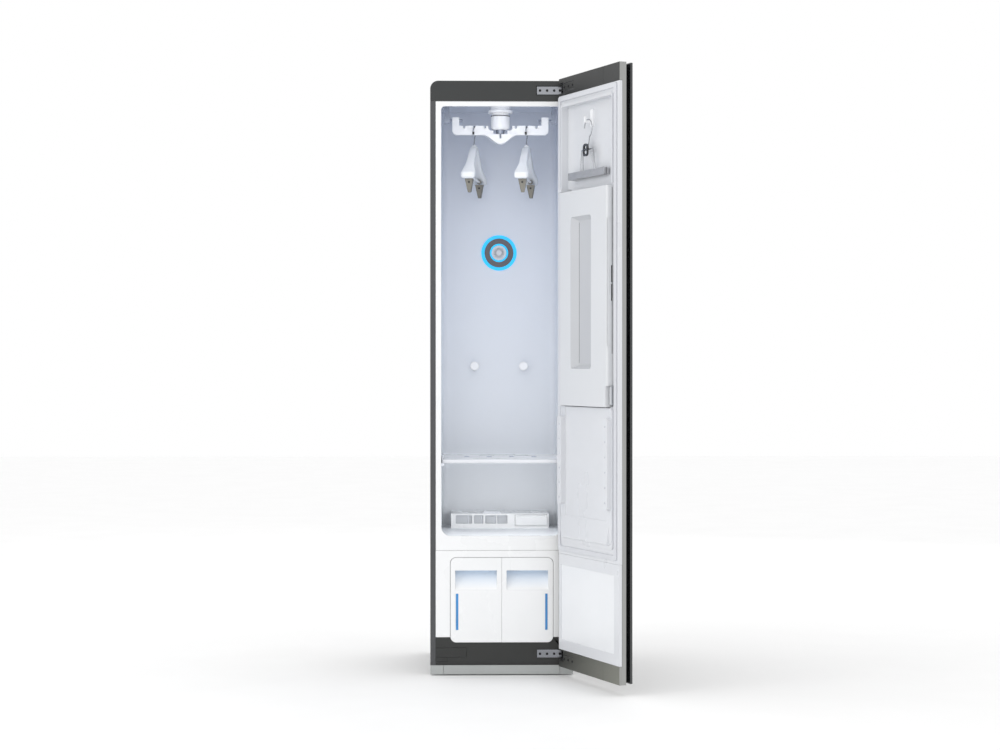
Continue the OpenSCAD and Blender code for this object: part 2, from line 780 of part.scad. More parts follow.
module foot(x, y) {
    translate([x, y, 0]) {
        cylinder(r = foot_r, h = 12);
        translate([0, 0, 12]) cylinder(r = 5, h = base_z + 2 - 12);
        translate([0, 0, 12]) cylinder(r1 = foot_r, r2 = 9, h = 5);
    }
}
module rear_feet() {
    color("#2b2c2d") for (x = [-180, 180]) foot(x, back_y - 40);
}
module front_foot_left() {
    color("#2b2c2d") foot(-180, front_y + 45);
}
module front_foot_right() {
    color("#2b2c2d") foot(180, front_y + 45);
}

// ---- door ----
module hinge_notches() {
    for (z = [notch_top_z, notch_low_z])
        ubox(-1, notch_u, core_q + 0.01, 1, z, z + notch_h);
}
module door_frame() {
    color("#3a3b3a") on_door() difference() {
        translate([0, 0, door_z]) linear_extrude(door_top - door_z) polygon([
            [pin_in, pin_deep - frame_t], [pin_in, pin_deep - 8], [pin_in - chamfer_u, pin_deep],
            [pin_in - body_w, pin_deep], [pin_in - body_w, pin_deep - frame_t]]);
        ubox(chamfer_u, body_w - 8, -frame_t - 1, 1, band_low, band_high);
        ubox(body_w - 9, body_w + 1, -9.3, 1, band_low, band_high);
        hinge_notches();
        for (z = [door_z - 1, band_high + 4])
            ubox(body_w - 111.6, body_w - 110.8, -0.8, 1, z, z + band_h - 3);
        for (z = [notch_top_z, notch_low_z])
            ubox(notch_u - 1, notch_u + 76, -1, 1, z + 4, z + notch_h - 2);
    }
}
module door_core() {
    color("#141414") on_door() difference() {
        ubox(3, body_w - 25, core_q, -frame_t, door_z + 5, door_top - 5);
        ubox(60, body_w - 40, core_q + 3, -frame_t + 1, door_z + 60, door_top - 60);
        hinge_notches();
        for (z = [notch_top_z, notch_low_z])
            translate([0, 0, z - 8 - gap]) cylinder(r = pin_r + fit, h = notch_h + 14 + 2 * gap);
    }
}
module door_glass() {
    color("#2c2f31") on_door() uplate(0, body_w, door_z + 2, door_top - 1.5, 2, glass_q, core_q);
}
module door_liner() {
    top = band_high - seam;
    color("#e9ebee") on_door() difference() {
        union() {
            ubox(chamfer_u + gap, body_w, -3, 0, liner_split, top);
            ubox(body_w - 3, body_w, -9, 0, liner_split, top);
            uplate(dike_u, dike_u1, dike_z0, dike_z1, 12, -3, gasket_gap - 0.5);
            uplate(dike_u, dike_u1, dike_low, dike_z1, 24, -3, ridge_q);
            uplate(dike_u, dike_u1, dike_z1 - 60, dike_z1, 12, -3, ridge_q);
            tray_slope();
            for (u = [dike_u + 3, dike_u1 - 35])
                uplate(u, u + 30, ledge_z0, ledge_z1, 5, -3, dike_q);
            ubox(tub_u0 - 3, tub_u1 + 3, -tub_deep - 2.5, 0, tub_z0 - 2.5, tub_z1 + 2.5);
        }
        uplate(tub_u0, tub_u1, tub_z0, tub_z1, 8, -tub_deep, 40);
        ubox(tub_u1 - 1, dike_u1 + 1, 0, 40, tub_z0 - 5, press_top + 6);
        ubox(dike_u + 35, dike_u1 - 37, 5, 40, dike_z0 + 82, tub_z0 + 1);
        ubox(dike_u + 3, dike_u1 - 3, -4, 2, dike_low + 10, tub_z0 - 8);
        for (u = [dike_u + 6, dike_u1 - 32])
            ubox(u, u + 24, -4, dike_q - 3, ledge_z0 + 3, ledge_z1 - 3);
        for (u = [dike_u + 18, dike_u1 - 20], i = [0:5])
            translate([pin_in - u, pin_deep + dike_q + 1, ledge_z0 + 20 + i * 44.8])
                rotate([90, 0, 0]) cylinder(r = 3, h = 2);
    }
}
// The slope that carries the trouser hems out to the tray's lip
module tray_slope() {
    translate([0, 0, 0]) rotate([90, 0, 90]) translate([0, 0, pin_in - dike_u1 + 22])
        linear_extrude(dike_w - 44) polygon([
            [pin_deep - 3, dike_low], [pin_deep + 10, dike_low], [pin_deep + 12, dike_low + 3],
            [pin_deep + 5, dike_z0 + 82], [pin_deep - 3, dike_z0 + 82]]);
}
module door_lower_liner() {
    color("#e4e6ea") on_door() difference() {
        union() {
            ubox(chamfer_u + gap, body_w, -5, 0, band_low + seam, liner_split - seam);
            ubox(body_w - 3, body_w, -9, 0, band_low + seam, liner_split - seam);
        }
        uplate(33, 409, band_low + 33, liner_split - 34, 4, -2, 1);
    }
}
module door_gasket() {
    m = 18.5;
    w = 15;
    color("#cfd2d8") on_door() difference() {
        uplate(m, body_w - m + 3, liner_split + 10, band_high - 3, 8, 0, gasket_gap - 0.4);
        uplate(m + w, body_w - m - w + 3, liner_split + 10 + w, band_high - 3 - w, 6, -1, 9);
    }
}
module press_bed() {
    color("#b9bbbd") on_door() uplate(press_u0 + 8, press_u1 - 8, press_z + 14, press_top - 14, 6,
        -tub_deep, -tub_deep + bed_t);
}
module press_hinge_lugs() {
    color("#e9ebee") on_door() for (z = [tub_z0, press_top + 2]) {
        h = z == tub_z0 ? 2.6 : 9;
        difference() {
            intersection() {
                ubox(tub_u0, press_pin_u + 7, -tub_deep, dike_q, z, z + h);
                uplate(tub_u0, tub_u1, tub_z0, tub_z1, 8, -tub_deep, dike_q);
            }
            urod(press_pin_u, press_pin_q, press_pin_r + fit, z - 1, z + h + 1);
        }
    }
}
module press_latch() {
    u = tub_u1 - 2;
    color("#a9acb0") on_door() {
        ubox(tub_u1 + 0.5, dike_u1 + 2, 0, 1.5, press_z + 5, press_z + 63);
        for (z = [press_z + 6, press_z + 59]) ubox(u - 3, dike_u1 + 2, 0.8, 9, z, z + 3);
        urod(u, 6, 5, press_z + 8.5, press_z + 59.5);
    }
}
module trouser_peg() {
    u = hook_u;
    color("#f4f5f7") on_door() {
        uplate(u - 10, u + 10, hook_z + 6, hook_z + 58, 6, -tub_deep, -tub_deep + 3);
        translate([pin_in - u, pin_deep - 13, hook_z + hook_r - wire_r - 4 - gap])
            rotate([-90, 0, 0]) cylinder(r = 4, h = 20);
        uplate(u - 4, u + 4, hook_z + hook_r - wire_r - 8 - gap, hook_z + hook_r + 9, 3.9, 7, 10.5);
    }
}
module press_cover() {
    u0 = press_u0;
    u1 = press_u1;
    win = [u0 + 82, u1 - 109];
    slope = 32;
    notch_z = press_z + 63;
    color("#eff0f2") on_door() difference() {
        union() {
            press_shell(u0, u1);
            for (z = [press_z - 2.4, press_top - 5])
                urod(press_pin_u, press_pin_q, press_pin_r, z, z + 14 - (z < press_z ? 3 : 0));
        }
        ubox(u0 + 12, win[0] - 3, -30, dike_q - 3, press_z + 3, press_top - 3);
        ubox(win[1] + 3, u1 - 14, -30, dike_q - 3, press_z + 3, press_top - 3);
        ubox(win[0] - 4, win[1] + 4, -30, dike_q - 3, press_z + 3, press_z + 108);
        ubox(win[0] - 4, win[1] + 4, -30, dike_q - 3, press_top - 76, press_top - 3);
        press_window(win[0], win[1], slope);
        ubox(win[0] + slope + 0.5, win[0] + slope + 2.5, dike_q - 16, dike_q - 13,
            press_z + 130, press_top - 97);
        ubox(u1 - 9, u1 + 1, -30, 40, press_z - 1, notch_z);
        ubox(u1 - 4.2, u1 + 1, dike_q - 18, dike_q - 1.5, handle_z0 - 0.6, handle_z1 + 0.6);
        urod(lever_u, lever_q, 1 + fit, handle_z0 - 5, handle_z1 + 5);
    }
}
// The recess in the cover's face, with one long slope and two short ones
module press_window(u0, u1, slope) {
    z0 = press_z + 112;
    z1 = press_top - 79;
    y1 = pin_deep + dike_q + 1;
    y0 = y1 - 15;
    intersection() {
        linear_z(z0, z1) polygon([[pin_in - u0, y1], [pin_in - u0 - 0.1, y1 - 1],
            [pin_in - u0 - slope, y0], [pin_in - u1, y0], [pin_in - u1, y1]]);
        uplate(u0, u1, z0, z1, 12, dike_q - 20, dike_q + 2);
        rotate([90, 0, 90]) translate([0, 0, pin_in - u1 - 1]) linear_extrude(u1 - u0 + 2)
            polygon([[y1, z0 - 1], [y0, z0 + 12], [y0, z1 - 12], [y1, z1 + 1]]);
    }
}
module press_shell(u0, u1) {
    r = 6;
    union() {
        linear_z(press_z, press_top) {
            translate([pin_in - u1, pin_deep + pad_q + pad_t]) square([u1 - u0, dike_q - pad_q - pad_t - r]);
            translate([pin_in - u1 + r, pin_deep + pad_q + pad_t])
                square([u1 - u0 - 2 * r, dike_q - pad_q - pad_t]);
            for (x = [pin_in - u1 + r, pin_in - u0 - r])
                translate([x, pin_deep + dike_q - r]) circle(r);
        }
    }
}
module linear_z(z0, z1) {
    translate([0, 0, z0]) linear_extrude(z1 - z0) children();
}
module press_pad() {
    color("#9ea1a4") on_door() uplate(press_u0 + 8, press_u1 - 11, press_z + 14, press_top - 14, 6,
        pad_q, pad_q + pad_t);
}
module press_handle() {
    color("#e6e8eb") on_door() {
        difference() {
            ubox(press_u1 - 3, press_u1, dike_q - 17.6, dike_q - 2.6, handle_z0, handle_z1);
            ubox(press_u1 - 1.2, press_u1 + 1, dike_q - 14, dike_q - 9, handle_z0 + 150,
                handle_z1 - 150);
        }
        urod(lever_u, lever_q, 1, handle_z0 - 4.5, handle_z1 + 4.5);
    }
}

// ---- trouser hanger: a wire hook, two clamp bars and a lock ----
handle_z0 = press_z + 181;
handle_z1 = press_z + 554;
hook_u = 226;
hook_z = clamp_z + 147;
wire_q = -2;
yoke_z = clamp_z + 85;
hang_u = 224;
yoke_half = 36;
leg_half = 44;
clamp_u0 = hang_u - clamp_w / 2;
module trouser_hanger() {
    u0 = clamp_u0;
    color("#8f9295") on_door() {
        uplate(u0, u0 + clamp_w, clamp_z, clamp_z + clamp_h, 3, wire_q - 8, wire_q - 1.2);
        translate([pin_in - hook_u, pin_deep + wire_q, hook_z]) rotate([90, 0, 0])
            rotate([0, 0, 5]) rotate_extrude(angle = 245)
            translate([hook_r, 0]) circle(wire_r, $fn = 24);
        // the bend's lower end leads down to the yoke
        a = upoint(hook_u + hook_r * cos(70), wire_q, hook_z - hook_r * sin(70));
        b = upoint(hang_u + 4, wire_q, yoke_z + 12);
        rod(a, b, wire_r);
        translate(a) sphere(1.06 * wire_r, $fn = 24);
        translate(b) sphere(1.06 * wire_r, $fn = 24);
        rod(b, upoint(hang_u + 4, wire_q, yoke_z), wire_r);
        rod_x(pin_in - hang_u - yoke_half, pin_in - hang_u + yoke_half, pin_deep + wire_q, yoke_z, wire_r);
        for (s = [-1, 1]) {
            p = upoint(hang_u + s * yoke_half, wire_q, yoke_z);
            translate(p) sphere(1.06 * wire_r, $fn = 24);
            rod(p, upoint(hang_u + s * leg_half, wire_q - 4.6, clamp_z + clamp_h - 1), wire_r);
        }
    }
}
module trouser_clamp() {
    u0 = clamp_u0;
    q = wire_q + 4;
    color("#9a9da0") on_door() {
        difference() {
            uplate(u0, u0 + clamp_w, clamp_z, clamp_z + clamp_h, 3, wire_q + 1.2, wire_q + 8);
            uplate(u0 + 4, hang_u + 40, clamp_z + 4, clamp_z + clamp_h - 4, 2, wire_q + 7.4, wire_q + 9);
            uplate(hang_u + 44, u0 + clamp_w - 4, clamp_z + 4, clamp_z + clamp_h - 4, 2,
                wire_q + 7.4, wire_q + 9);
        }
        for (s = [-1, 1]) {
            a = upoint(hang_u + s * (leg_half - 6), q - 0.2, yoke_z - 2);
            translate(a) sphere(1.06 * wire_r, $fn = 24);
            rod(a, upoint(hang_u + s * leg_half, q, clamp_z + clamp_h - 1), wire_r);
        }
        rod_x(pin_in - hang_u - leg_half + 6, pin_in - hang_u + leg_half - 6, pin_deep + q - 0.2,
            yoke_z - 2, wire_r);
    }
}
module trouser_lock() {
    q0 = wire_q + 6;
    color("#101010") on_door() difference() {
        uplate(hang_u - 15, hang_u + 19, yoke_z - 22, yoke_z + 16, 12, q0, q0 + 5);
        uplate(hang_u - 8, hang_u + 12, yoke_z - 15, yoke_z - 5, 4.9, q0 - 1, q0 + 6);
        uplate(hang_u - 5, hang_u + 10, yoke_z + 1, yoke_z + 9, 3.9, q0 - 1, q0 + 6);
    }
}

side_panel_left();
side_panel_right();
back_panel();
top_cover();
front_header();
front_frame();
lower_front_panel();
base_fascia();
plinth();
base_plate();
chamber_liner();
tank_bay();
hinge_brackets();
hinge_blank_cover();
steam_vent();
vent_light_rings();
garment_pegs();
ceiling_lamp();
drive_housing();
drive_motor();
hanger_supports();
shelf_rails();
intake_cover();
air_duct();
compressor();
heat_exchangers();
steam_generator();
water_pumps();
blower_housing();
control_board();
power_inlet();
rear_feet();
front_foot_left();
front_foot_right();
door_frame();
door_core();
door_glass();
door_liner();
door_lower_liner();
door_gasket();
press_bed();
press_hinge_lugs();
press_latch();
trouser_peg();
press_cover();
press_pad();
press_handle();
trouser_hanger();
trouser_clamp();
trouser_lock();
moving_hanger();
drive_crank();
left_hanger();
right_hanger();
shelf();
drain_tank();
water_tank();
lint_filter();
aroma_cartridge();
blower_wheel();
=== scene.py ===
import json
from math import cos, sin, pi, radians

import bpy
from mathutils import Matrix, Vector


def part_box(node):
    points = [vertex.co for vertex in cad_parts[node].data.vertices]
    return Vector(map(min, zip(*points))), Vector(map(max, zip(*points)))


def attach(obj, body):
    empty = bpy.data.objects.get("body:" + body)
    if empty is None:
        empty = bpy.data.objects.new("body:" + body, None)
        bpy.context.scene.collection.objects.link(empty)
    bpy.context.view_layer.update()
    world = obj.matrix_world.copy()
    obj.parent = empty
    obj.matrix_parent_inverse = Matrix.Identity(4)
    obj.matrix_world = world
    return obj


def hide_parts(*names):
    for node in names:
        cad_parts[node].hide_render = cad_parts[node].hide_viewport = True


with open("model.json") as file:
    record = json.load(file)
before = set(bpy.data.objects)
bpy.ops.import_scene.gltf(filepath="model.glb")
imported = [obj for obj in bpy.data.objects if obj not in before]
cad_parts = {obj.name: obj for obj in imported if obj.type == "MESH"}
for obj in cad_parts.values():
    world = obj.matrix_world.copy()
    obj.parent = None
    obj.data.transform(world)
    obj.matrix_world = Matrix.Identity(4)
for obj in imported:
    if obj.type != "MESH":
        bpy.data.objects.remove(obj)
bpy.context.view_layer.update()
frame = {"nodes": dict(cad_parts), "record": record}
nodes = frame["nodes"]
record = frame["record"]
bodyOf = {n: body for body, members in record["behaviour"]["bodies"].items() for n in members}
joints = {j["name"]: j for j in record["behaviour"]["joints"]}
print("frame loaded:", len(nodes), "nodes")

mm = 0.001
squareOn = 0.9  # a normal this far along an axis faces it
shell = {"frontY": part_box("front_header")[0].y, "halfWidth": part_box("top_cover")[1].x}
hingeSide = {"open": radians(111.5), "pinIn": 20 * mm, "pinDeep": 27 * mm,
             "pin": Vector(joints["door_hinge"]["pos_m"])}
onDoorMatrix = (Matrix.Translation(Vector((hingeSide["pin"].x, hingeSide["pin"].y, 0)))
                @ Matrix.Rotation(hingeSide["open"], 4, "Z"))


def doorSpot(u, q, z):
    # u from the hinge end, q out of the inner face, in the door's own frame
    return Vector((hingeSide["pinIn"] - u * mm, hingeSide["pinDeep"] + q * mm, z * mm))


# ---- materials ----

def startMaterial(name, look):
    # uniform values sit on the shader itself
    m = bpy.data.materials.new(name)
    m.use_nodes = True
    shader = m.node_tree.nodes["Principled BSDF"]
    shader.inputs["Base Color"].default_value = (*look["colour"], 1)
    shader.inputs["Roughness"].default_value = look.get("rough", 0.4)
    shader.inputs["Metallic"].default_value = look.get("metal", 0)
    shader.inputs["Coat Weight"].default_value = look.get("coat", 0)
    shader.inputs["Coat Roughness"].default_value = look.get("coatRough", 0.1)
    m.diffuse_color = (*look["colour"], 1)
    return m, m.node_tree, shader


def addCoords(tree, stretch=(1, 1, 1)):
    coords = tree.nodes.new("ShaderNodeTexCoord")
    mapping = tree.nodes.new("ShaderNodeMapping")
    mapping.inputs["Scale"].default_value = stretch
    tree.links.new(coords.outputs["Object"], mapping.inputs["Vector"])
    return mapping.outputs["Vector"]


def addNoise(tree, vector, scale, detail=3):
    noise = tree.nodes.new("ShaderNodeTexNoise")
    noise.inputs["Scale"].default_value = scale
    noise.inputs["Detail"].default_value = detail
    tree.links.new(vector, noise.inputs["Vector"])
    return noise.outputs["Fac"]


noiseSpan = (0.3, 0.7)  # most of a noise pattern lies between these
reliefDepth = {"grain": 0.0002, "lines": 0.0001}


def addTone(tree, shader, factor, colour, spread):
    # the colour drifts a little round its mean
    ramp = tree.nodes.new("ShaderNodeValToRGB")
    low, high = ramp.color_ramp.elements
    low.position, high.position = noiseSpan
    low.color = (*[c * (1 - spread) for c in colour], 1)
    high.color = (*[min(1, c * (1 + spread)) for c in colour], 1)
    tree.links.new(factor, ramp.inputs["Fac"])
    tree.links.new(ramp.outputs["Color"], shader.inputs["Base Color"])


def addGloss(tree, shader, factor, low, high):
    # the gloss drifts between two roughnesses
    spread = tree.nodes.new("ShaderNodeMapRange")
    spread.inputs["From Min"].default_value, spread.inputs["From Max"].default_value = noiseSpan
    spread.inputs["To Min"].default_value = low
    spread.inputs["To Max"].default_value = high
    tree.links.new(factor, spread.inputs["Value"])
    tree.links.new(spread.outputs["Result"], shader.inputs["Roughness"])


def addBump(tree, shader, height, strength, distance):
    bump = tree.nodes.new("ShaderNodeBump")
    bump.inputs["Strength"].default_value = strength
    bump.inputs["Distance"].default_value = distance
    tree.links.new(height, bump.inputs["Height"])
    tree.links.new(bump.outputs["Normal"], shader.inputs["Normal"])


def grainMaterial(name, look):
    # moulded plastic or paint: fine grain, faint blotches, uneven gloss
    m, tree, shader = startMaterial(name, look)
    vector = addCoords(tree)
    fine = addNoise(tree, vector, look.get("grain", 900), 2)
    broad = addNoise(tree, vector, look.get("blotch", 3.5), 4)
    addTone(tree, shader, broad, look["colour"], look.get("spread", 0.03))
    rough = look.get("rough", 0.4)
    addGloss(tree, shader, broad, rough * 0.88, min(1, rough * 1.12))
    addBump(tree, shader, fine, look.get("bump", 0.08), reliefDepth["grain"])
    return m


def shadedMaterial(name, look):
    # painted light and shade: a colour that changes slowly along one axis of the cabinet, with the same grain
    m, tree, shader = startMaterial(name, look)
    vector = addCoords(tree)
    parts = tree.nodes.new("ShaderNodeSeparateXYZ")
    tree.links.new(vector, parts.inputs["Vector"])
    place = tree.nodes.new("ShaderNodeMapRange")
    place.inputs["From Min"].default_value = look["from"]
    place.inputs["From Max"].default_value = look["to"]
    tree.links.new(parts.outputs[look["axis"]], place.inputs["Value"])
    ramp = tree.nodes.new("ShaderNodeValToRGB")
    ramp.color_ramp.elements[0].color = (*look["colour"], 1)
    ramp.color_ramp.elements[1].color = (*look["farColour"], 1)
    tree.links.new(place.outputs["Result"], ramp.inputs["Fac"])
    tree.links.new(ramp.outputs["Color"], shader.inputs["Base Color"])
    fine = addNoise(tree, vector, 800, 2)
    broad = addNoise(tree, vector, 5, 3)
    addGloss(tree, shader, broad, look["rough"] * 0.9, look["rough"] * 1.1)
    addBump(tree, shader, fine, 0.06, reliefDepth["grain"])
    return m


def brushedMaterial(name, look):
    # metal with fine parallel scratches along the stretched axis
    m, tree, shader = startMaterial(name, look)
    vector = addCoords(tree, look["stretch"])
    lines = addNoise(tree, vector, look.get("lines", 60), 4)
    blotch = addNoise(tree, addCoords(tree), 14, 2)
    addTone(tree, shader, lines, look["colour"], 0.06)
    addGloss(tree, shader, blotch, look["rough"] * 0.93, look["rough"] * 1.07)
    addBump(tree, shader, lines, look.get("bump", 0.12), reliefDepth["lines"])
    return m


def glowMaterial(name, look):
    # a lamp behind a smooth cover
    m, tree, shader = startMaterial(name, look)
    addGloss(tree, shader, addNoise(tree, addCoords(tree), 30, 2), 0.3, 0.45)
    shader.inputs["Emission Color"].default_value = (*look["glow"], 1)
    shader.inputs["Emission Strength"].default_value = look["power"]
    return m


def tinted(hexColour):
    # sRGB hex to linear
    out = []
    for i in (0, 2, 4):
        c = int(hexColour[i:i + 2], 16) / 255
        out.append(c / 12.92 if c <= 0.04045 else ((c + 0.055) / 1.055) ** 2.4)
    return tuple(out)


hexKeys = ("colour", "farColour", "glow")


def makeFinishes(make, looks):
    # hex colours become linear ones on the way
    return {name: make(name, {key: tinted(value) if key in hexKeys else value for key, value in look.items()})
            for name, look in looks.items()}


# paint, moulded plastic, rubber and glass, and a few finishes for painted shade and a painted highlight
grainLooks = {
    "wrapPaint": {"colour": "4d4e50", "rough": 0.42, "metal": 0.2, "grain": 1400, "bump": 0.1,
                  "spread": 0.035},
    "headerPaint": {"colour": "343636", "rough": 0.46, "metal": 0.15, "grain": 1400, "bump": 0.08,
                    "spread": 0.03},
    # white plastic trim, also used for a painted highlight on the header's underside
    "whiteTrim": {"colour": "f4f5f6", "rough": 0.28, "coat": 0.25, "grain": 700, "bump": 0.04,
                  "spread": 0.012},
    "fasciaPlastic": {"colour": "292a29", "rough": 0.5, "grain": 1100, "bump": 0.16, "spread": 0.05},
    "plinthPaint": {"colour": "aeb1b0", "rough": 0.4, "metal": 0.3, "grain": 1300, "bump": 0.1,
                    "spread": 0.03},
    "ventDark": {"colour": "4c4b55", "rough": 0.35, "coat": 0.3, "grain": 900},
    "darkMetal": {"colour": "26282a", "rough": 0.5, "metal": 0.4, "grain": 600, "bump": 0.2,
                  "spread": 0.1},
    "boardGreen": {"colour": "22573a", "rough": 0.35, "grain": 300, "spread": 0.15, "blotch": 60},
    "footRubber": {"colour": "232425", "rough": 0.75, "grain": 500, "bump": 0.25, "spread": 0.1},
    "doorMetal": {"colour": "303131", "rough": 0.45, "metal": 0.15, "grain": 1300, "bump": 0.08},
    "coreBlack": {"colour": "0c0c0d", "rough": 0.5, "grain": 700},
    "mirrorGlass": {"colour": "1e2123", "rough": 0.06, "coat": 1, "coatRough": 0.03, "grain": 40,
                    "bump": 0.006, "spread": 0.04},
    "linerPlastic": {"colour": "dadce0", "rough": 0.3, "coat": 0.15, "grain": 650, "bump": 0.05,
                     "spread": 0.015},
    "gasketRubber": {"colour": "d3d5da", "rough": 0.62, "grain": 500, "bump": 0.12, "spread": 0.03},
    # black for the trouser lock and hook sleeves, and painted shade in slots and gaps
    "lockBlack": {"colour": "0a0a0a", "rough": 0.18, "coat": 0.6, "grain": 500, "bump": 0.03},
    "hangerPlastic": {"colour": "f7f8fa", "rough": 0.34, "coat": 0.1, "grain": 650, "bump": 0.05,
                      "spread": 0.012},
    "shoulderPlastic": {"colour": "dfe2e6", "rough": 0.36, "coat": 0.1, "grain": 650, "bump": 0.05,
                        "spread": 0.012},
    "filterMesh": {"colour": "cfd2d6", "rough": 0.6, "grain": 500, "bump": 0.2, "spread": 0.06},
    "filterFrame": {"colour": "dfe2e8", "rough": 0.4, "grain": 700},
    "tankBlue": {"colour": "2f86c8", "rough": 0.12, "coat": 0.8, "grain": 60, "bump": 0.01,
                 "spread": 0.08, "blotch": 18},
    "ventFace": {"colour": "d4d7de", "rough": 0.3, "coat": 0.2, "grain": 800},
    "dotGrey": {"colour": "b4b9c4", "rough": 0.4, "grain": 600},
    "coverPlastic": {"colour": "d9dbde", "rough": 0.32, "coat": 0.15, "grain": 700, "bump": 0.05,
                     "spread": 0.012},
    # painted shade for the press cover's window recess
    "coverShade": {"colour": "c1c3c7", "rough": 0.36, "grain": 700, "bump": 0.05},
    "panelWhite": {"colour": "e9ebee", "rough": 0.3, "grain": 700, "bump": 0.05},
    "bayGrey": {"colour": "4b4d51", "rough": 0.6, "grain": 600, "spread": 0.06},
    "linkBlack": {"colour": "1b1c1e", "rough": 0.35, "metal": 0.5, "grain": 700},
    # painted shade in the gap down the press cover's side
    "gapGrey": {"colour": "77797d", "rough": 0.5, "grain": 700},
}
# metals, with streaks along the axis of the smallest stretch
brushedLooks = {
    "zincSheet": {"colour": "a0a3a6", "rough": 0.42, "metal": 0.9, "stretch": (1, 1, 0.05), "lines": 90},
    "hingeChrome": {"colour": "8b8d92", "rough": 0.24, "metal": 1, "stretch": (0.1, 1, 1), "lines": 120,
                    "bump": 0.04},
    "driveMetal": {"colour": "9aa0ad", "rough": 0.3, "metal": 0.9, "stretch": (1, 1, 0.1)},
    "coilMetal": {"colour": "b9bdc1", "rough": 0.35, "metal": 0.95, "stretch": (1, 1, 0.05)},
    "ironingMetal": {"colour": "b6b8bb", "rough": 0.3, "metal": 0.85, "stretch": (1, 1, 0.06)},
    "latchMetal": {"colour": "c2c5c9", "rough": 0.34, "metal": 0.5, "stretch": (1, 1, 0.08)},
    "clampMetal": {"colour": "b6b7ba", "rough": 0.34, "metal": 0.6, "stretch": (0.2, 0.2, 1),
                   "lines": 150},
    "clipMetal": {"colour": "77756f", "rough": 0.34, "metal": 0.85, "stretch": (1, 1, 0.1)},
    "doorEdge": {"colour": "9fa09e", "rough": 0.38, "metal": 0.35, "stretch": (1, 1, 0.03), "lines": 140,
                 "bump": 0.06},
    "shelfEdge": {"colour": "c9cbd0", "rough": 0.3, "metal": 0.5, "stretch": (0.05, 1, 1), "lines": 120,
                  "bump": 0.05},
    "wireChrome": {"colour": "b4b6ba", "rough": 0.18, "metal": 1, "stretch": (1, 1, 0.2), "lines": 90,
                   "bump": 0.03},
}
# painted light and shade: a slow change of colour along one axis
shadedLooks = {
    # painted shade: the chamber plastic turns darker and bluer towards the ceiling
    "chamberPlastic": {"colour": "eef1f5", "farColour": "d9dfeb", "axis": "Z", "from": 0.45, "to": 1.75,
                       "rough": 0.36},
    # painted light: the door's bottom band goes from dark at the hinge end to lighter towards its free end
    "doorBase": {"colour": "2c2d2b", "farColour": "74756c", "axis": "X", "from": 0.17, "to": 0.34,
                 "rough": 0.42},
    # painted shade: the tank grip recesses are drawn bluish at their top, white below
    "gripShade": {"colour": "fbfcfd", "farColour": "cfe4fb", "axis": "Z", "from": 0.27, "to": 0.338,
                  "rough": 0.3},
}
# lamps
glowLooks = {
    "cyanLight": {"colour": "18b4ea", "glow": "10bcf4", "power": 0.5},
    "lampLight": {"colour": "ffffff", "glow": "ffffff", "power": 5},
}
finishes = {**makeFinishes(grainMaterial, grainLooks), **makeFinishes(brushedMaterial, brushedLooks),
            **makeFinishes(shadedMaterial, shadedLooks), **makeFinishes(glowMaterial, glowLooks)}
print("materials made:", len(finishes))

finishOf = {"side_panel_left": "wrapPaint", "side_panel_right": "wrapPaint", "back_panel": "zincSheet",
            "top_cover": "headerPaint", "front_header": "headerPaint", "front_frame": "whiteTrim",
            "lower_front_panel": "whiteTrim", "base_fascia": "fasciaPlastic", "plinth": "plinthPaint",
            "base_plate": "zincSheet", "chamber_liner": "chamberPlastic", "tank_bay": "bayGrey",
            "hinge_brackets": "hingeChrome", "hinge_blank_cover": "fasciaPlastic", "steam_vent": "ventDark",
            "vent_light_rings": "cyanLight", "garment_pegs": "hangerPlastic", "ceiling_lamp": "lampLight",
            "drive_housing": "hangerPlastic", "drive_motor": "darkMetal", "hanger_supports": "driveMetal",
            "shelf_rails": "chamberPlastic", "intake_cover": "whiteTrim", "air_duct": "chamberPlastic",
            "compressor": "darkMetal", "heat_exchangers": "coilMetal", "steam_generator": "coilMetal",
            "water_pumps": "darkMetal", "blower_housing": "chamberPlastic", "control_board": "boardGreen",
            "power_inlet": "coreBlack", "rear_feet": "footRubber", "front_foot_left": "footRubber",
            "front_foot_right": "footRubber", "door_frame": "doorMetal", "door_core": "coreBlack",
            "door_glass": "mirrorGlass", "door_liner": "linerPlastic", "door_lower_liner": "linerPlastic",
            "door_gasket": "gasketRubber", "press_bed": "ironingMetal", "press_hinge_lugs": "linerPlastic",
            "press_latch": "latchMetal", "trouser_peg": "hangerPlastic", "press_cover": "coverPlastic",
            "press_pad": "ironingMetal", "press_handle": "coverPlastic", "trouser_hanger": "clampMetal",
            "trouser_clamp": "clampMetal", "trouser_lock": "lockBlack", "moving_hanger": "hangerPlastic",
            "drive_crank": "driveMetal", "left_hanger": "hangerPlastic", "right_hanger": "hangerPlastic",
            "shelf": "whiteTrim", "drain_tank": "whiteTrim", "water_tank": "whiteTrim",
            "lint_filter": "filterFrame", "aroma_cartridge": "whiteTrim", "blower_wheel": "darkMetal"}
for name, finish in finishOf.items():
    nodes[name].data.materials.clear()
    nodes[name].data.materials.append(finishes[finish])


# ---- modelling helpers ----

def clearSelection():
    if bpy.context.mode != "OBJECT":
        bpy.ops.object.mode_set(mode="OBJECT")
    bpy.ops.object.select_all(action="DESELECT")


def makeActive(piece):
    clearSelection()
    piece.select_set(True)
    bpy.context.view_layer.objects.active = piece


def applyAll(piece):
    makeActive(piece)
    for modifier in list(piece.modifiers):
        bpy.ops.object.modifier_apply(modifier=modifier.name)


def placeFlat(piece):
    # the place goes into the mesh
    makeActive(piece)
    bpy.ops.object.transform_apply(location=True, rotation=True, scale=True)


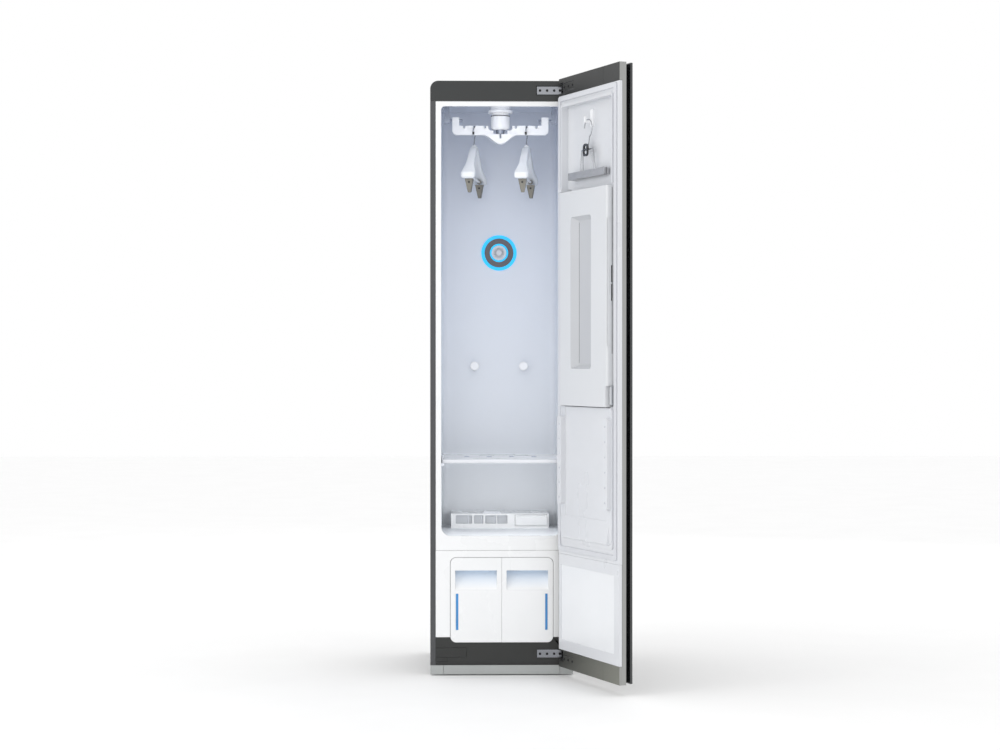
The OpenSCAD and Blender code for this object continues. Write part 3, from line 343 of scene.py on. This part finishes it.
def softenEdges(piece, width, segments=2, angle=32):
    bevel = piece.modifiers.new("edges", "BEVEL")
    bevel.width = width * mm
    bevel.segments = segments
    bevel.limit_method = "ANGLE"
    bevel.angle_limit = radians(angle)
    bevel.use_clamp_overlap = True
    bevel.loop_slide = False
    applyAll(piece)
    bpy.ops.object.shade_smooth_by_angle(angle=radians(angle))
    # flat faces keep their own direction, so that only the eased edges shade softly
    flats = piece.modifiers.new("flats", "WEIGHTED_NORMAL")
    flats.keep_sharp = True
    flats.weight = 80
    applyAll(piece)


def softCopy(name, width, segments=2, angle=32):
    # a carried-over node with its edges eased
    source = nodes[name]
    piece = bpy.data.objects.new(name + "Soft", source.data.copy())
    bpy.context.scene.collection.objects.link(piece)
    makeActive(piece)
    bpy.ops.object.mode_set(mode="EDIT")
    bpy.ops.mesh.select_all(action="SELECT")
    bpy.ops.mesh.remove_doubles(threshold=0.00001)
    bpy.ops.mesh.dissolve_limited(angle_limit=radians(0.6))
    bpy.ops.object.mode_set(mode="OBJECT")
    softenEdges(piece, width, segments, angle)
    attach(piece, bodyOf[name])
    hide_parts(name)
    return piece


axisTurn = {"X": (0, pi / 2, 0), "Y": (pi / 2, 0, 0), "Z": (0, 0, 0)}


def startBlock(name, low, high):
    # the block between two corners that a piece is shaped from
    clearSelection()
    centre = [(a + b) / 2 for a, b in zip(low, high)]
    bpy.ops.mesh.primitive_cube_add(size=1, location=centre)
    piece = bpy.context.active_object
    piece.name = name
    piece.scale = [abs(b - a) for a, b in zip(low, high)]
    placeFlat(piece)
    return piece


def startDisc(name, centre, radius, depth, turn, sides):
    clearSelection()
    bpy.ops.mesh.primitive_cylinder_add(vertices=sides, radius=radius, depth=depth,
                                        location=centre, rotation=turn)
    piece = bpy.context.active_object
    piece.name = name
    placeFlat(piece)
    return piece


def finishPiece(piece, finish, onDoor=False):
    # what was measured on the door is carried to the door's place
    piece.data.materials.append(finishes[finish])
    if onDoor:
        piece.matrix_world = onDoorMatrix
        placeFlat(piece)
    return piece


def addBlock(name, low, high, finish, width=0.4, segments=2):
    piece = startBlock(name, low, high)
    softenEdges(piece, width, segments)
    return finishPiece(piece, finish)


def addDisc(name, centre, radius, depth, axis, finish, sides=40, width=0.3):
    piece = startDisc(name, centre, radius, depth, axisTurn[axis], sides)
    softenEdges(piece, width)
    return finishPiece(piece, finish)


def joinPieces(pieces, name):
    clearSelection()
    for p in pieces:
        p.select_set(True)
    bpy.context.view_layer.objects.active = pieces[0]
    bpy.ops.object.join()
    pieces[0].name = name
    return pieces[0]


def rideOn(piece, body):
    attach(piece, body)
    return piece


def addFinish(piece, finish):
    piece.data.materials.append(finishes[finish])
    return len(piece.data.materials) - 1


def paintFaces(piece, finish, test):
    # faces chosen by their middle and normal take another finish
    last = addFinish(piece, finish)
    for f in piece.data.polygons:
        if test(f.center, f.normal):
            f.material_index = last


def paintWithin(piece, finish, centre, radius):
    # faces that lie wholly inside a circle seen along the depth
    points = piece.data.vertices
    last = addFinish(piece, finish)
    for f in piece.data.polygons:
        corners = [points[i].co for i in f.vertices]
        if all((p.x - centre[0]) ** 2 + (p.z - centre[1]) ** 2 < radius ** 2 for p in corners):
            f.material_index = last


def within(value, span):
    return span[0] < value < span[1]


def onDoorPlace(point):
    # back to u, q, z in millimetres from a place in the cabinet's frame
    local = onDoorMatrix.inverted() @ Vector(point)
    return ((hingeSide["pinIn"] - local.x) / mm, (local.y - hingeSide["pinDeep"]) / mm, local.z / mm)


def pickFaces(piece, test):
    # edit mode is left on with only the chosen faces selected
    makeActive(piece)
    for f in piece.data.polygons:
        f.select = test(f.center, f.normal)
    for e in piece.data.edges:
        e.select = False
    for v in piece.data.vertices:
        v.select = False
    bpy.ops.object.mode_set(mode="EDIT")
    bpy.ops.mesh.select_mode(type="FACE")


def leaveEdit():
    bpy.ops.object.mode_set(mode="OBJECT")


def addPlate(name, low, high, finish, axis="Y", corner=3, rim=1, sink=0.5, onDoor=False, width=0.25):
    # a plate with round corners and a face sunk inside its rim, turned out along one axis
    piece = startBlock(name, low, high)
    which = "XYZ".index(axis)
    points = piece.data.vertices
    for e in piece.data.edges:
        a, b = (points[i].co for i in e.vertices)
        e.select = abs((b - a).normalized()[which]) > squareOn
    for f in piece.data.polygons:
        f.select = False
    bpy.ops.object.mode_set(mode="EDIT")
    bpy.ops.mesh.select_mode(type="EDGE")
    bpy.ops.mesh.bevel(offset=corner * mm, segments=5, affect="EDGES")
    leaveEdit()
    if sink:
        outward = 1 if axis == "Z" or onDoor else -1
        pickFaces(piece, lambda c, n: n[which] * outward > squareOn)
        bpy.ops.mesh.inset(thickness=rim * mm, depth=-sink * mm)
        leaveEdit()
    softenEdges(piece, width)
    return finishPiece(piece, finish, onDoor)


screwShape = {"sides": 24, "deep": 0.5, "crown": (0.35, 0.12), "socket": (0.3, -0.25)}  # shares of the radius


def addScrew(name, centre, radius, axis, finish, onDoor=False):
    # a raised head with a round socket in it
    piece = startDisc(name, centre, radius, radius * screwShape["deep"], axisTurn[axis], screwShape["sides"])
    which = "XYZ".index(axis)
    pickFaces(piece, lambda c, n: abs(n[which]) > squareOn)
    for thickness, depth in (screwShape["crown"], screwShape["socket"]):
        bpy.ops.mesh.inset(thickness=radius * thickness, depth=radius * depth)
    leaveEdit()
    softenEdges(piece, 0.15)
    return finishPiece(piece, finish, onDoor)


def addTube(name, ring, radius, spin, finish):
    # a ring swept round a centre about one axis, closed at both ends
    clearSelection()
    bpy.ops.mesh.primitive_circle_add(vertices=16, radius=radius, fill_type="NGON", location=ring["at"],
                                      rotation=ring["turn"])
    piece = bpy.context.active_object
    piece.name = name
    placeFlat(piece)
    bpy.ops.object.mode_set(mode="EDIT")
    bpy.ops.mesh.select_all(action="SELECT")
    bpy.ops.mesh.spin(steps=spin["steps"], angle=spin["angle"], center=(0, 0, 0), axis=(1, 0, 0))
    bpy.ops.mesh.select_all(action="SELECT")
    bpy.ops.mesh.normals_make_consistent(inside=False)
    leaveEdit()
    bpy.ops.object.shade_smooth_by_angle(angle=radians(40))
    return finishPiece(piece, finish)


def addRod(name, start, end, radius, finish, sides=16):
    start, end = Vector(start), Vector(end)
    run = end - start
    turn = run.to_track_quat("Z", "Y").to_euler()
    piece = startDisc(name, (start + end) / 2, radius, run.length, turn, sides)
    softenEdges(piece, radius / mm * 0.2)
    return finishPiece(piece, finish)


# ---- eased copies of the shells ----

easedNodes = {
    "front_header": 1.2, "top_cover": 1.2, "front_frame": 1.4, "lower_front_panel": 1.2, "base_fascia": 0.8,
    "plinth": 1.0, "hinge_brackets": 0.7, "hinge_blank_cover": 0.5, "garment_pegs": 1.2, "drive_housing": 0.8,
    "hanger_supports": 1.0, "aroma_cartridge": 1.0, "lint_filter": 0.6,
    "drain_tank": 1.2, "water_tank": 1.2, "door_frame": 0.8, "door_glass": 1.0, "door_liner": 0.8,
    "door_lower_liner": 0.8, "door_gasket": 1.8, "press_cover": 1.6, "press_handle": 0.8, "press_latch": 0.5,
    "press_bed": 1.5, "press_pad": 1.2, "press_hinge_lugs": 0.6, "trouser_peg": 0.8, "trouser_lock": 1.2,
    "moving_hanger": 1.6, "shelf_rails": 0.8, "side_panel_left": 0.35, "side_panel_right": 0.35,
    "power_inlet": 0.6, "rear_feet": 0.8, "front_foot_left": 0.8, "front_foot_right": 0.8,
    "steam_vent": 0.3, "trouser_hanger": 0.3, "trouser_clamp": 0.5, "tank_bay": 0.5,
}
easedPieces = {name: softCopy(name, width) for name, width in easedNodes.items()}
print("eased copies:", len(easedPieces))

# ---- faces of the eased copies in other finishes ----

frontY = shell["frontY"]
tankBox = {name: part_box(name) for name in ("drain_tank", "water_tank")}
tankLook = {
    "gripHalf": 64, "gripUp": (61, 237), "gripDeep": (0.6, 33),
    "windowIn": 21, "windowHalf": 4.1, "windowUp": (38.7, 151.8), "windowDeep": (0.35, 1.7),
}
for name, (low, high) in tankBox.items():
    middle = (low.x + high.x) / 2
    # painted shade in the tank grip recesses
    paintFaces(easedPieces[name], "gripShade", lambda c, n: (
        abs(c.x - middle) < tankLook["gripHalf"] * mm and n.z > -squareOn
        and within((c.z - low.z) / mm, tankLook["gripUp"])
        and within((c.y - frontY) / mm, tankLook["gripDeep"])))


def doorTest(check):
    return lambda c, n: check(*onDoorPlace(c), onDoorMatrix.to_3x3().inverted() @ n)


door = easedPieces["door_frame"]
doorBands = {"base": 88, "edge": (87, 1796)}
# painted light on the door's bottom band, lighter towards the free end
paintFaces(door, "doorBase", doorTest(lambda u, q, z, n: z < doorBands["base"]))
paintFaces(door, "doorEdge", doorTest(lambda u, q, z, n: n.x < -squareOn and within(z, doorBands["edge"])))

paintLimits = {"headerHighlightBand": 2, "meshSink": 1.5, "wireLow": 1552.5, "ventFace": 24.9}
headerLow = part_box("front_header")[0].z
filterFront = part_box("lint_filter")[0].y
# painted highlight: the header's underside, up to 2 mm above its bottom, is painted white as a bright line
# over the frame
paintFaces(easedPieces["front_header"], "whiteTrim", lambda c, n: (
    n.z < -squareOn and c.z < headerLow + paintLimits["headerHighlightBand"] * mm))
paintFaces(easedPieces["lint_filter"], "filterMesh", lambda c, n: (
    n.y < -squareOn and c.y > filterFront + paintLimits["meshSink"] * mm))
for name in ("trouser_hanger", "trouser_clamp"):
    paintFaces(easedPieces[name], "wireChrome", lambda c, n: c.z > paintLimits["wireLow"] * mm)
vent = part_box("steam_vent")
ventMiddle = (0, (vent[0].z + vent[1].z) / 2)
paintWithin(easedPieces["steam_vent"], "ventFace", ventMiddle, paintLimits["ventFace"] * mm)

coverLook = {"up": (957, 1413), "recess": (146, 293), "recessDeep": 19, "slot": (177, 180.6), "slotDeep": 6.4}
cover = easedPieces["press_cover"]
# painted shade: the floor and slopes of the press cover's window recess take a darker grey
paintFaces(cover, "coverShade", doorTest(lambda u, q, z, n: (
    within(u, coverLook["recess"]) and q < coverLook["recessDeep"] and within(z, coverLook["up"]))))
# painted shade: the slot beside the cover's window is painted black
paintFaces(cover, "lockBlack", doorTest(lambda u, q, z, n: (
    within(u, coverLook["slot"]) and q < coverLook["slotDeep"] and within(z, coverLook["up"])
    and abs(n.x) > 0.5)))
linerPanel = {"across": (34, 408), "faceQ": -0.8}
paintFaces(easedPieces["door_lower_liner"], "panelWhite", doorTest(lambda u, q, z, n: (
    within(u, linerPanel["across"]) and n.y > squareOn and q < linerPanel["faceQ"])))
print("faces painted")

# ---- clothes hangers ----

hangerShape = {
    # across the depth, height below the hook's middle, half width, half height
    "sections": [(0, -53, 12, 9.5), (18, -57, 12.2, 10.5), (48, -75, 12.2, 11), (82, -98, 12.4, 11.5),
                 (106, -116, 14, 11.5), (124, -130, 18.5, 11.8), (138, -139, 22, 12), (149, -145, 22.6, 11.8),
                 (155, -147, 21.5, 10.5), (158, -147.5, 18.5, 8)],
    "turn": radians(-8), "drop": 20, "axisUp": 1731, "barY": -48.5, "hangerX": 84,
    "corner": 6, "endWall": 2, "hollow": (1.2, 2.2), "barHalf": 140, "barDown": 148, "barRadius": 4,
    "neckDown": 44, "neckRadius": 7.5, "neckHigh": 9, "neckEase": 2.2,
}
hookShape = {"start": radians(-62), "sweep": radians(262), "steps": 44, "wire": 2, "bendLow": -38.4,
             "shank": (-37.4, -50), "ringUp": -39.2, "ringRadius": 5.4, "ringHigh": 3}
tipShape = {"start": radians(174), "sweep": radians(25.5), "steps": 10, "radius": 3.3, "ease": 1.1}
clipShape = {"along": 124, "aside": 1, "top": -157, "low": -200, "wide": 27, "deep": 21,
             "taper": (0.37, 0.8, 1), "taperAt": 2.4, "wall": 2.6, "sink": 1.6, "ease": 0.9,
             "pivotUp": -148, "pivotRadius": 6.8, "pivotLong": 20,
             "pinUp": -168, "pinRadius": 3.2, "pinLong": 21.6}


def finishHanger(piece, x):
    # hangs at its place, turned a little
    s = hangerShape
    piece.matrix_world = (Matrix.Translation(Vector((x * mm, s["barY"] * mm, (s["axisUp"] - s["drop"]) * mm)))
                          @ Matrix.Rotation(s["turn"], 4, "Z"))
    placeFlat(piece)


def makeShoulders(name, x):
    s = hangerShape
    y, z, halfX, halfZ = [v * mm for v in s["sections"][0]]
    clearSelection()
    bpy.ops.mesh.primitive_plane_add(size=2, rotation=(pi / 2, 0, 0))
    piece = bpy.context.active_object
    piece.name = name
    piece.scale = (halfX, halfZ, 1)
    piece.location = (0, y, z)
    placeFlat(piece)
    bpy.ops.object.mode_set(mode="EDIT")
    bpy.ops.mesh.select_mode(type="VERT")
    bpy.ops.mesh.select_all(action="SELECT")
    bpy.ops.mesh.bevel(offset=s["corner"] * mm, segments=5, affect="VERTICES")
    bpy.ops.mesh.select_mode(type="FACE")
    bpy.ops.mesh.select_all(action="SELECT")
    for nextY, nextZ, nextX, nextHalf in s["sections"][1:]:
        step = (0, nextY * mm - y, nextZ * mm - z)
        bpy.ops.mesh.extrude_region_move(TRANSFORM_OT_translate={"value": step})
        y, z = nextY * mm, nextZ * mm
        growth = (nextX * mm / halfX, 1, nextHalf * mm / halfZ)
        bpy.ops.transform.resize(value=growth, center_override=(0, y, z))
        halfX, halfZ = nextX * mm, nextHalf * mm
    bpy.ops.mesh.inset(thickness=s["endWall"] * mm, depth=0)
    bpy.ops.mesh.inset(thickness=s["hollow"][0] * mm, depth=-s["hollow"][1] * mm)
    leaveEdit()
    pickFaces(piece, lambda c, n: abs(n.y) > squareOn and c.y < 1 * mm)
    bpy.ops.mesh.delete(type="FACE")
    leaveEdit()
    mirror = piece.modifiers.new("otherShoulder", "MIRROR")
    mirror.use_axis = (False, True, False)
    mirror.merge_threshold = 0.01 * mm
    applyAll(piece)
    bpy.ops.object.mode_set(mode="EDIT")
    bpy.ops.mesh.select_all(action="SELECT")
    bpy.ops.mesh.normals_make_consistent(inside=False)
    leaveEdit()
    bpy.ops.object.shade_smooth_by_angle(angle=radians(38))
    piece.data.materials.append(finishes["shoulderPlastic"])
    barEnds = [(0, end * s["barHalf"] * mm, -s["barDown"] * mm) for end in (-1, 1)]
    bar = addRod(name + "Bar", *barEnds, s["barRadius"] * mm, "shoulderPlastic", 20)
    collar = addDisc(name + "Neck", (0, 0, -s["neckDown"] * mm), s["neckRadius"] * mm, s["neckHigh"] * mm, "Z",
                     "shoulderPlastic", 28, s["neckEase"])
    whole = joinPieces([piece, bar, collar], name)
    finishHanger(whole, x)
    return whole


def onHook(angle):
    # a place on the hook's round, in the hanger's own frame
    r = hangerShape["drop"] * mm
    return (0, r * cos(angle), r * sin(angle))


def makeHook(name, x):
    h = hookShape
    wire = h["wire"] * mm
    bend = onHook(h["start"])
    shankTop, shankLow = ((0, 0, up * mm) for up in h["shank"])
    parts = [addTube(name + "Arc", {"at": bend, "turn": (h["start"], 0, 0)}, wire,
                     {"steps": h["steps"], "angle": -h["sweep"]}, "wireChrome"),
             addRod(name + "Bend", bend, (0, 0, h["bendLow"] * mm), wire, "wireChrome"),
             addRod(name + "Shank", shankTop, shankLow, wire, "wireChrome"),
             addDisc(name + "Ring", (0, 0, h["ringUp"] * mm), h["ringRadius"] * mm, h["ringHigh"] * mm, "Z",
                     "wireChrome", 24, 0.5)]
    whole = joinPieces(parts, name)
    finishHanger(whole, x)
    return whole


def makeTip(name, x):
    # the soft sleeve on the hook's end
    t = tipShape
    sleeve = addTube(name, {"at": onHook(t["start"]), "turn": (t["start"], 0, 0)}, t["radius"] * mm,
                     {"steps": t["steps"], "angle": -t["sweep"]}, "lockBlack")
    softenEdges(sleeve, t["ease"], 3, 50)
    finishHanger(sleeve, x)
    return sleeve


def makeClips(name, x):
    # two clips on the trouser bar: tapered jaws with a sunk face and a pivot
    k = clipShape
    parts = []
    for side in (-1, 1):
        y, low, high = side * k["along"] * mm, k["low"] * mm, k["top"] * mm
        aside, halfWide, halfDeep = k["aside"] * mm, k["wide"] * mm / 2, k["deep"] * mm / 2
        jaw = startBlock(name + "Jaw", (aside - halfWide, y - halfDeep, low),
                         (aside + halfWide, y + halfDeep, high))
        pickFaces(jaw, lambda c, n: n.z < -squareOn)
        bpy.ops.transform.resize(value=k["taper"], center_override=(k["taperAt"] * mm, y, low))
        leaveEdit()
        pickFaces(jaw, lambda c, n: abs(n.y) > squareOn)
        bpy.ops.mesh.inset(thickness=k["wall"] * mm, depth=-k["sink"] * mm, use_individual=True)
        leaveEdit()
        softenEdges(jaw, k["ease"], 3)
        parts.append(finishPiece(jaw, "clipMetal"))
        parts.append(addDisc(name + "Pivot", (0, y, k["pivotUp"] * mm), k["pivotRadius"] * mm,
                             k["pivotLong"] * mm, "Y", "clipMetal", 28, 0.8))
        parts.append(addDisc(name + "Pin", (aside, y, k["pinUp"] * mm), k["pinRadius"] * mm,
                             k["pinLong"] * mm, "Y", "darkMetal", 20, 0.5))
    whole = joinPieces(parts, name)
    finishHanger(whole, x)
    return whole


for sideName, sign in (("left", -1), ("right", 1)):
    node = sideName + "_hanger"
    x = sign * hangerShape["hangerX"]
    shoulders = makeShoulders(sideName + "Shoulders", x)
    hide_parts(node)
    for piece in (shoulders, makeHook(sideName + "Hook", x), makeTip(sideName + "HookTip", x),
                  makeClips(sideName + "Clips", x)):
        rideOn(piece, bodyOf[node])
print("hangers made")

# ---- shelf: a sunk tray, a rolled front rail and four dimples ----

shelfLook = {
    "railDeep": 11, "railEase": 4.6, "trayFront": 8, "trayUp": 1, "trayDrop": 1.6,
    "trayCorner": 8, "trayRim": 7, "traySink": 0.9,
    "sideWide": 6, "sideFront": 9, "sideBack": 8, "sideDrop": 0.6, "sideEase": 2,
    "dimples": (-108, -36, 36, 108), "dimpleBack": 205, "dimpleDown": 3.4, "dimpleRadius": 8.6,
}
low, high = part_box("shelf")
shelfParts = [
    addPlate("shelfTray", (low.x, low.y + shelfLook["trayFront"] * mm, low.z + shelfLook["trayUp"] * mm),
             (high.x, high.y, high.z - shelfLook["trayDrop"] * mm), "whiteTrim", axis="Z",
             corner=shelfLook["trayCorner"], rim=shelfLook["trayRim"], sink=shelfLook["traySink"]),
    addBlock("shelfRail", (low.x, low.y, low.z), (high.x, low.y + shelfLook["railDeep"] * mm, high.z),
             "shelfEdge", shelfLook["railEase"], 6)]
for x in (low.x, high.x - shelfLook["sideWide"] * mm):
    sideLow = (x, low.y + shelfLook["sideFront"] * mm, low.z)
    sideHigh = (x + shelfLook["sideWide"] * mm, high.y - shelfLook["sideBack"] * mm,
                high.z - shelfLook["sideDrop"] * mm)
    shelfParts.append(addBlock("shelfSide", sideLow, sideHigh, "whiteTrim", shelfLook["sideEase"], 4))
for x in shelfLook["dimples"]:
    place = (x * mm, low.y + shelfLook["dimpleBack"] * mm, high.z - shelfLook["dimpleDown"] * mm)
    shelfParts.append(addScrew("shelfDimple", place, shelfLook["dimpleRadius"] * mm, "Z", "dotGrey"))
shelfPiece = joinPieces(shelfParts, "wardrobeShelf")
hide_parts("shelf")
rideOn(shelfPiece, bodyOf["shelf"])

# ---- tanks ----

for name, (low, high) in tankBox.items():
    x = low.x + tankLook["windowIn"] * mm if name == "drain_tank" else high.x - tankLook["windowIn"] * mm
    (near, far), (down, up) = tankLook["windowDeep"], tankLook["windowUp"]
    window = addPlate(name + "Level", (x - tankLook["windowHalf"] * mm, low.y + near * mm, low.z + down * mm),
                      (x + tankLook["windowHalf"] * mm, low.y + far * mm, low.z + up * mm),
                      "tankBlue", corner=1.4, rim=1.2, sink=-0.2)
    rideOn(window, bodyOf[name])
print("tanks finished")

# ---- painted shade under the hanger drive: a black disc in the dark ring below its neck ----

driveGapShade = {"up": 1764, "radius": 31, "high": 2.4, "ease": 0.6}
shadeDisc = addDisc("driveGapShade", (0, hangerShape["barY"] * mm, driveGapShade["up"] * mm), driveGapShade["radius"] * mm,
               driveGapShade["high"] * mm, "Z", "lockBlack", 56, driveGapShade["ease"])
rideOn(shadeDisc, "cabinet")

# ---- dots on the door's guide ledges ----

ledge = {"first": 561.5, "count": 6, "step": 44.8, "ends": (61, 387), "faceQ": 18.3, "dot": 2.7}
dotParts = [addScrew("ledgeDot%d%d" % (j, i), doorSpot(u, ledge["faceQ"], ledge["first"] + i * ledge["step"]),
                     ledge["dot"] * mm, "Y", "dotGrey", True)
            for j, u in enumerate(ledge["ends"]) for i in range(ledge["count"])]
rideOn(joinPieces(dotParts, "ledgeDots"), "door")

# ---- hinge leaves on the door ----

doorLeaf = {"bases": (1808, 47), "high": 26, "ends": (46, 122), "q": (-3.6, -0.6), "screws": (54, 84, 114),
            "screwQ": -0.35, "screwUp": 13, "screwRadius": 3.6}
plates = []
for base in doorLeaf["bases"]:
    plates.append(addPlate("leafPlate", doorSpot(doorLeaf["ends"][0], doorLeaf["q"][0], base),
                           doorSpot(doorLeaf["ends"][1], doorLeaf["q"][1], base + doorLeaf["high"]),
                           "hingeChrome", corner=2.5, rim=2, sink=0.5, onDoor=True))
    for u in doorLeaf["screws"]:
        plates.append(addScrew("leafScrew", doorSpot(u, doorLeaf["screwQ"], base + doorLeaf["screwUp"]),
                               doorLeaf["screwRadius"] * mm, "Y", "darkMetal", True))
rideOn(joinPieces(plates, "doorLeafPlates"), "door")

# ---- dark seams: under the front frame, and between the door's two liners ----

seamLook = {"sideIn": 4, "deep": (1, 3), "slack": 0.03, "corner": 0.1, "ease": 0.05,
            "doorU": (12, 444.8), "doorQ": (-4.4, -1.2), "doorZ": (393.2, 393.9)}
seamSide = shell["halfWidth"] - seamLook["sideIn"] * mm
seamNear, seamFar = (frontY + d * mm for d in seamLook["deep"])
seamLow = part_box("lower_front_panel")[1].z + seamLook["slack"] * mm
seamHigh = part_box("front_frame")[0].z - seamLook["slack"] * mm
frontSeam = addPlate("frontSeam", (-seamSide, seamNear, seamLow), (seamSide, seamFar, seamHigh),
                     "fasciaPlastic", corner=seamLook["corner"], sink=0, width=seamLook["ease"])
rideOn(frontSeam, "cabinet")
seamEnds = [doorSpot(*corner) for corner in zip(seamLook["doorU"], seamLook["doorQ"], seamLook["doorZ"])]
doorSeam = addPlate("doorSeam", *seamEnds, "bayGrey", corner=seamLook["corner"], sink=0, onDoor=True,
                    width=seamLook["ease"])
rideOn(doorSeam, "door")

# ---- hinge brackets on the cabinet: black arms and screws in the leaves ----

hingeLeaf = {"armFront": 1, "armX": 196, "lowUp": 23.5, "highDown": 22, "screws": (119, 141, 163, 181),
             "proud": 0.05, "screwRadius": 4}
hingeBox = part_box("hinge_brackets")
paintFaces(easedPieces["hinge_brackets"], "linkBlack", lambda c, n: (
    c.y < frontY - hingeLeaf["armFront"] * mm or c.x > hingeLeaf["armX"] * mm))
leafParts = []
for z in (hingeBox[0].z + hingeLeaf["lowUp"] * mm, hingeBox[1].z - hingeLeaf["highDown"] * mm):
    for x in hingeLeaf["screws"]:
        leafParts.append(addScrew("leafHead", (x * mm, frontY - hingeLeaf["proud"] * mm, z),
                                  hingeLeaf["screwRadius"] * mm, "Y", "linkBlack"))
rideOn(joinPieces(leafParts, "hingeLeafScrews"), "cabinet")

# ---- painted shade in the gap and finger slots down the press cover's side: grey and black strips ----

gapLook = {"u": (399.9, 400.25), "q": (1.2, 3), "z": (1000, 1488),
           "slotU": (399.9, 400.4), "slotQ": (1.2, 5.2), "slots": ((1155, 1205), (1209, 1259))}
gapEnds = [doorSpot(*corner) for corner in zip(gapLook["u"], gapLook["q"], gapLook["z"])]
gapParts = [addPlate("coverGap", *gapEnds, "gapGrey", axis="X", corner=0.5, sink=0, onDoor=True, width=0.05)]
for span in gapLook["slots"]:
    slotEnds = [doorSpot(*corner) for corner in zip(gapLook["slotU"], gapLook["slotQ"], span)]
    gapParts.append(addPlate("handleSlot", *slotEnds, "lockBlack", axis="X", corner=1, sink=0, onDoor=True,
                             width=0.05))
rideOn(joinPieces(gapParts, "coverSideGap"), "press")
print("door finished")

# ---- camera, lights, floor ----

cameraSetup = {"distance": 6.633, "x": -0.141, "z": 0.978, "yaw": radians(-1.17), "pitch": radians(-0.37),
               "lens": 76.75, "sensor": 36}
cameraData = bpy.data.cameras.new("stageCamera")
cameraData.lens = cameraSetup["lens"]
cameraData.sensor_width = cameraSetup["sensor"]
camera = bpy.data.objects.new("stageCamera", cameraData)
camera.location = (cameraSetup["x"], shell["frontY"] - cameraSetup["distance"], cameraSetup["z"])
camera.rotation_euler = (pi / 2 + cameraSetup["pitch"], 0, cameraSetup["yaw"])
bpy.context.scene.collection.objects.link(camera)
bpy.context.scene.camera = camera

lightSetup = {
    "key": {"place": (-4.2, -3.0, 2.6), "aim": (0.2, -0.3, 1.0), "size": 2.2, "power": 34},
    "front": {"place": (-0.5, -6.2, 1.9), "aim": (0, 0, 1.05), "size": 2.4, "power": 12},
    "back": {"place": (1.5, 4.0, 2.6), "aim": (0, 0, 1.0), "size": 3.0, "power": 18},
}
for name, look in lightSetup.items():
    data = bpy.data.lights.new(name + "Light", "AREA")
    data.size = look["size"]
    data.energy = look["power"]
    lamp = bpy.data.objects.new(name + "Light", data)
    lamp.location = look["place"]
    aim = Vector(look["aim"]) - Vector(look["place"])
    lamp.rotation_euler = aim.to_track_quat("-Z", "Y").to_euler()
    bpy.context.scene.collection.objects.link(lamp)

# soft panels just inside the opening light the chamber, as its lamp does
chamberPanels = {"upper": {"size": (0.36, 1.12), "middle": 1.22, "power": 0.5},
                 "lower": {"size": (0.36, 0.2), "middle": 0.545, "power": 0.24}}
for name, look in chamberPanels.items():
    data = bpy.data.lights.new(name + "Panel", "AREA")
    data.shape = "RECTANGLE"
    data.size, data.size_y = look["size"]
    data.energy = look["power"]
    lamp = bpy.data.objects.new(name + "Panel", data)
    lamp.location = (0, frontY + 4 * mm, look["middle"])
    lamp.rotation_euler = (pi / 2, 0, 0)
    bpy.context.scene.collection.objects.link(lamp)

world = bpy.data.worlds.new("studio")
world.use_nodes = True
backdrop = world.node_tree.nodes["Background"]
backdrop.inputs["Color"].default_value = (1, 1, 1, 1)
backdrop.inputs["Strength"].default_value = 1.0
bpy.context.scene.world = world
bpy.context.scene.view_settings.view_transform = "Standard"

floorLook = {"size": 30, "down": 0.5, "paper": {"colour": (0.975, 0.975, 0.975), "rough": 0.8, "grain": 30,
                                                "bump": 0.02, "spread": 0.01}}
clearSelection()
bpy.ops.mesh.primitive_plane_add(size=floorLook["size"], location=(0, 0, -floorLook["down"] * mm))
floor = bpy.context.active_object
floor.name = "studioFloor"
placeFlat(floor)
floorPaper = grainMaterial("floorPaper", floorLook["paper"])
floor.data.materials.append(floorPaper)
print("stage set")
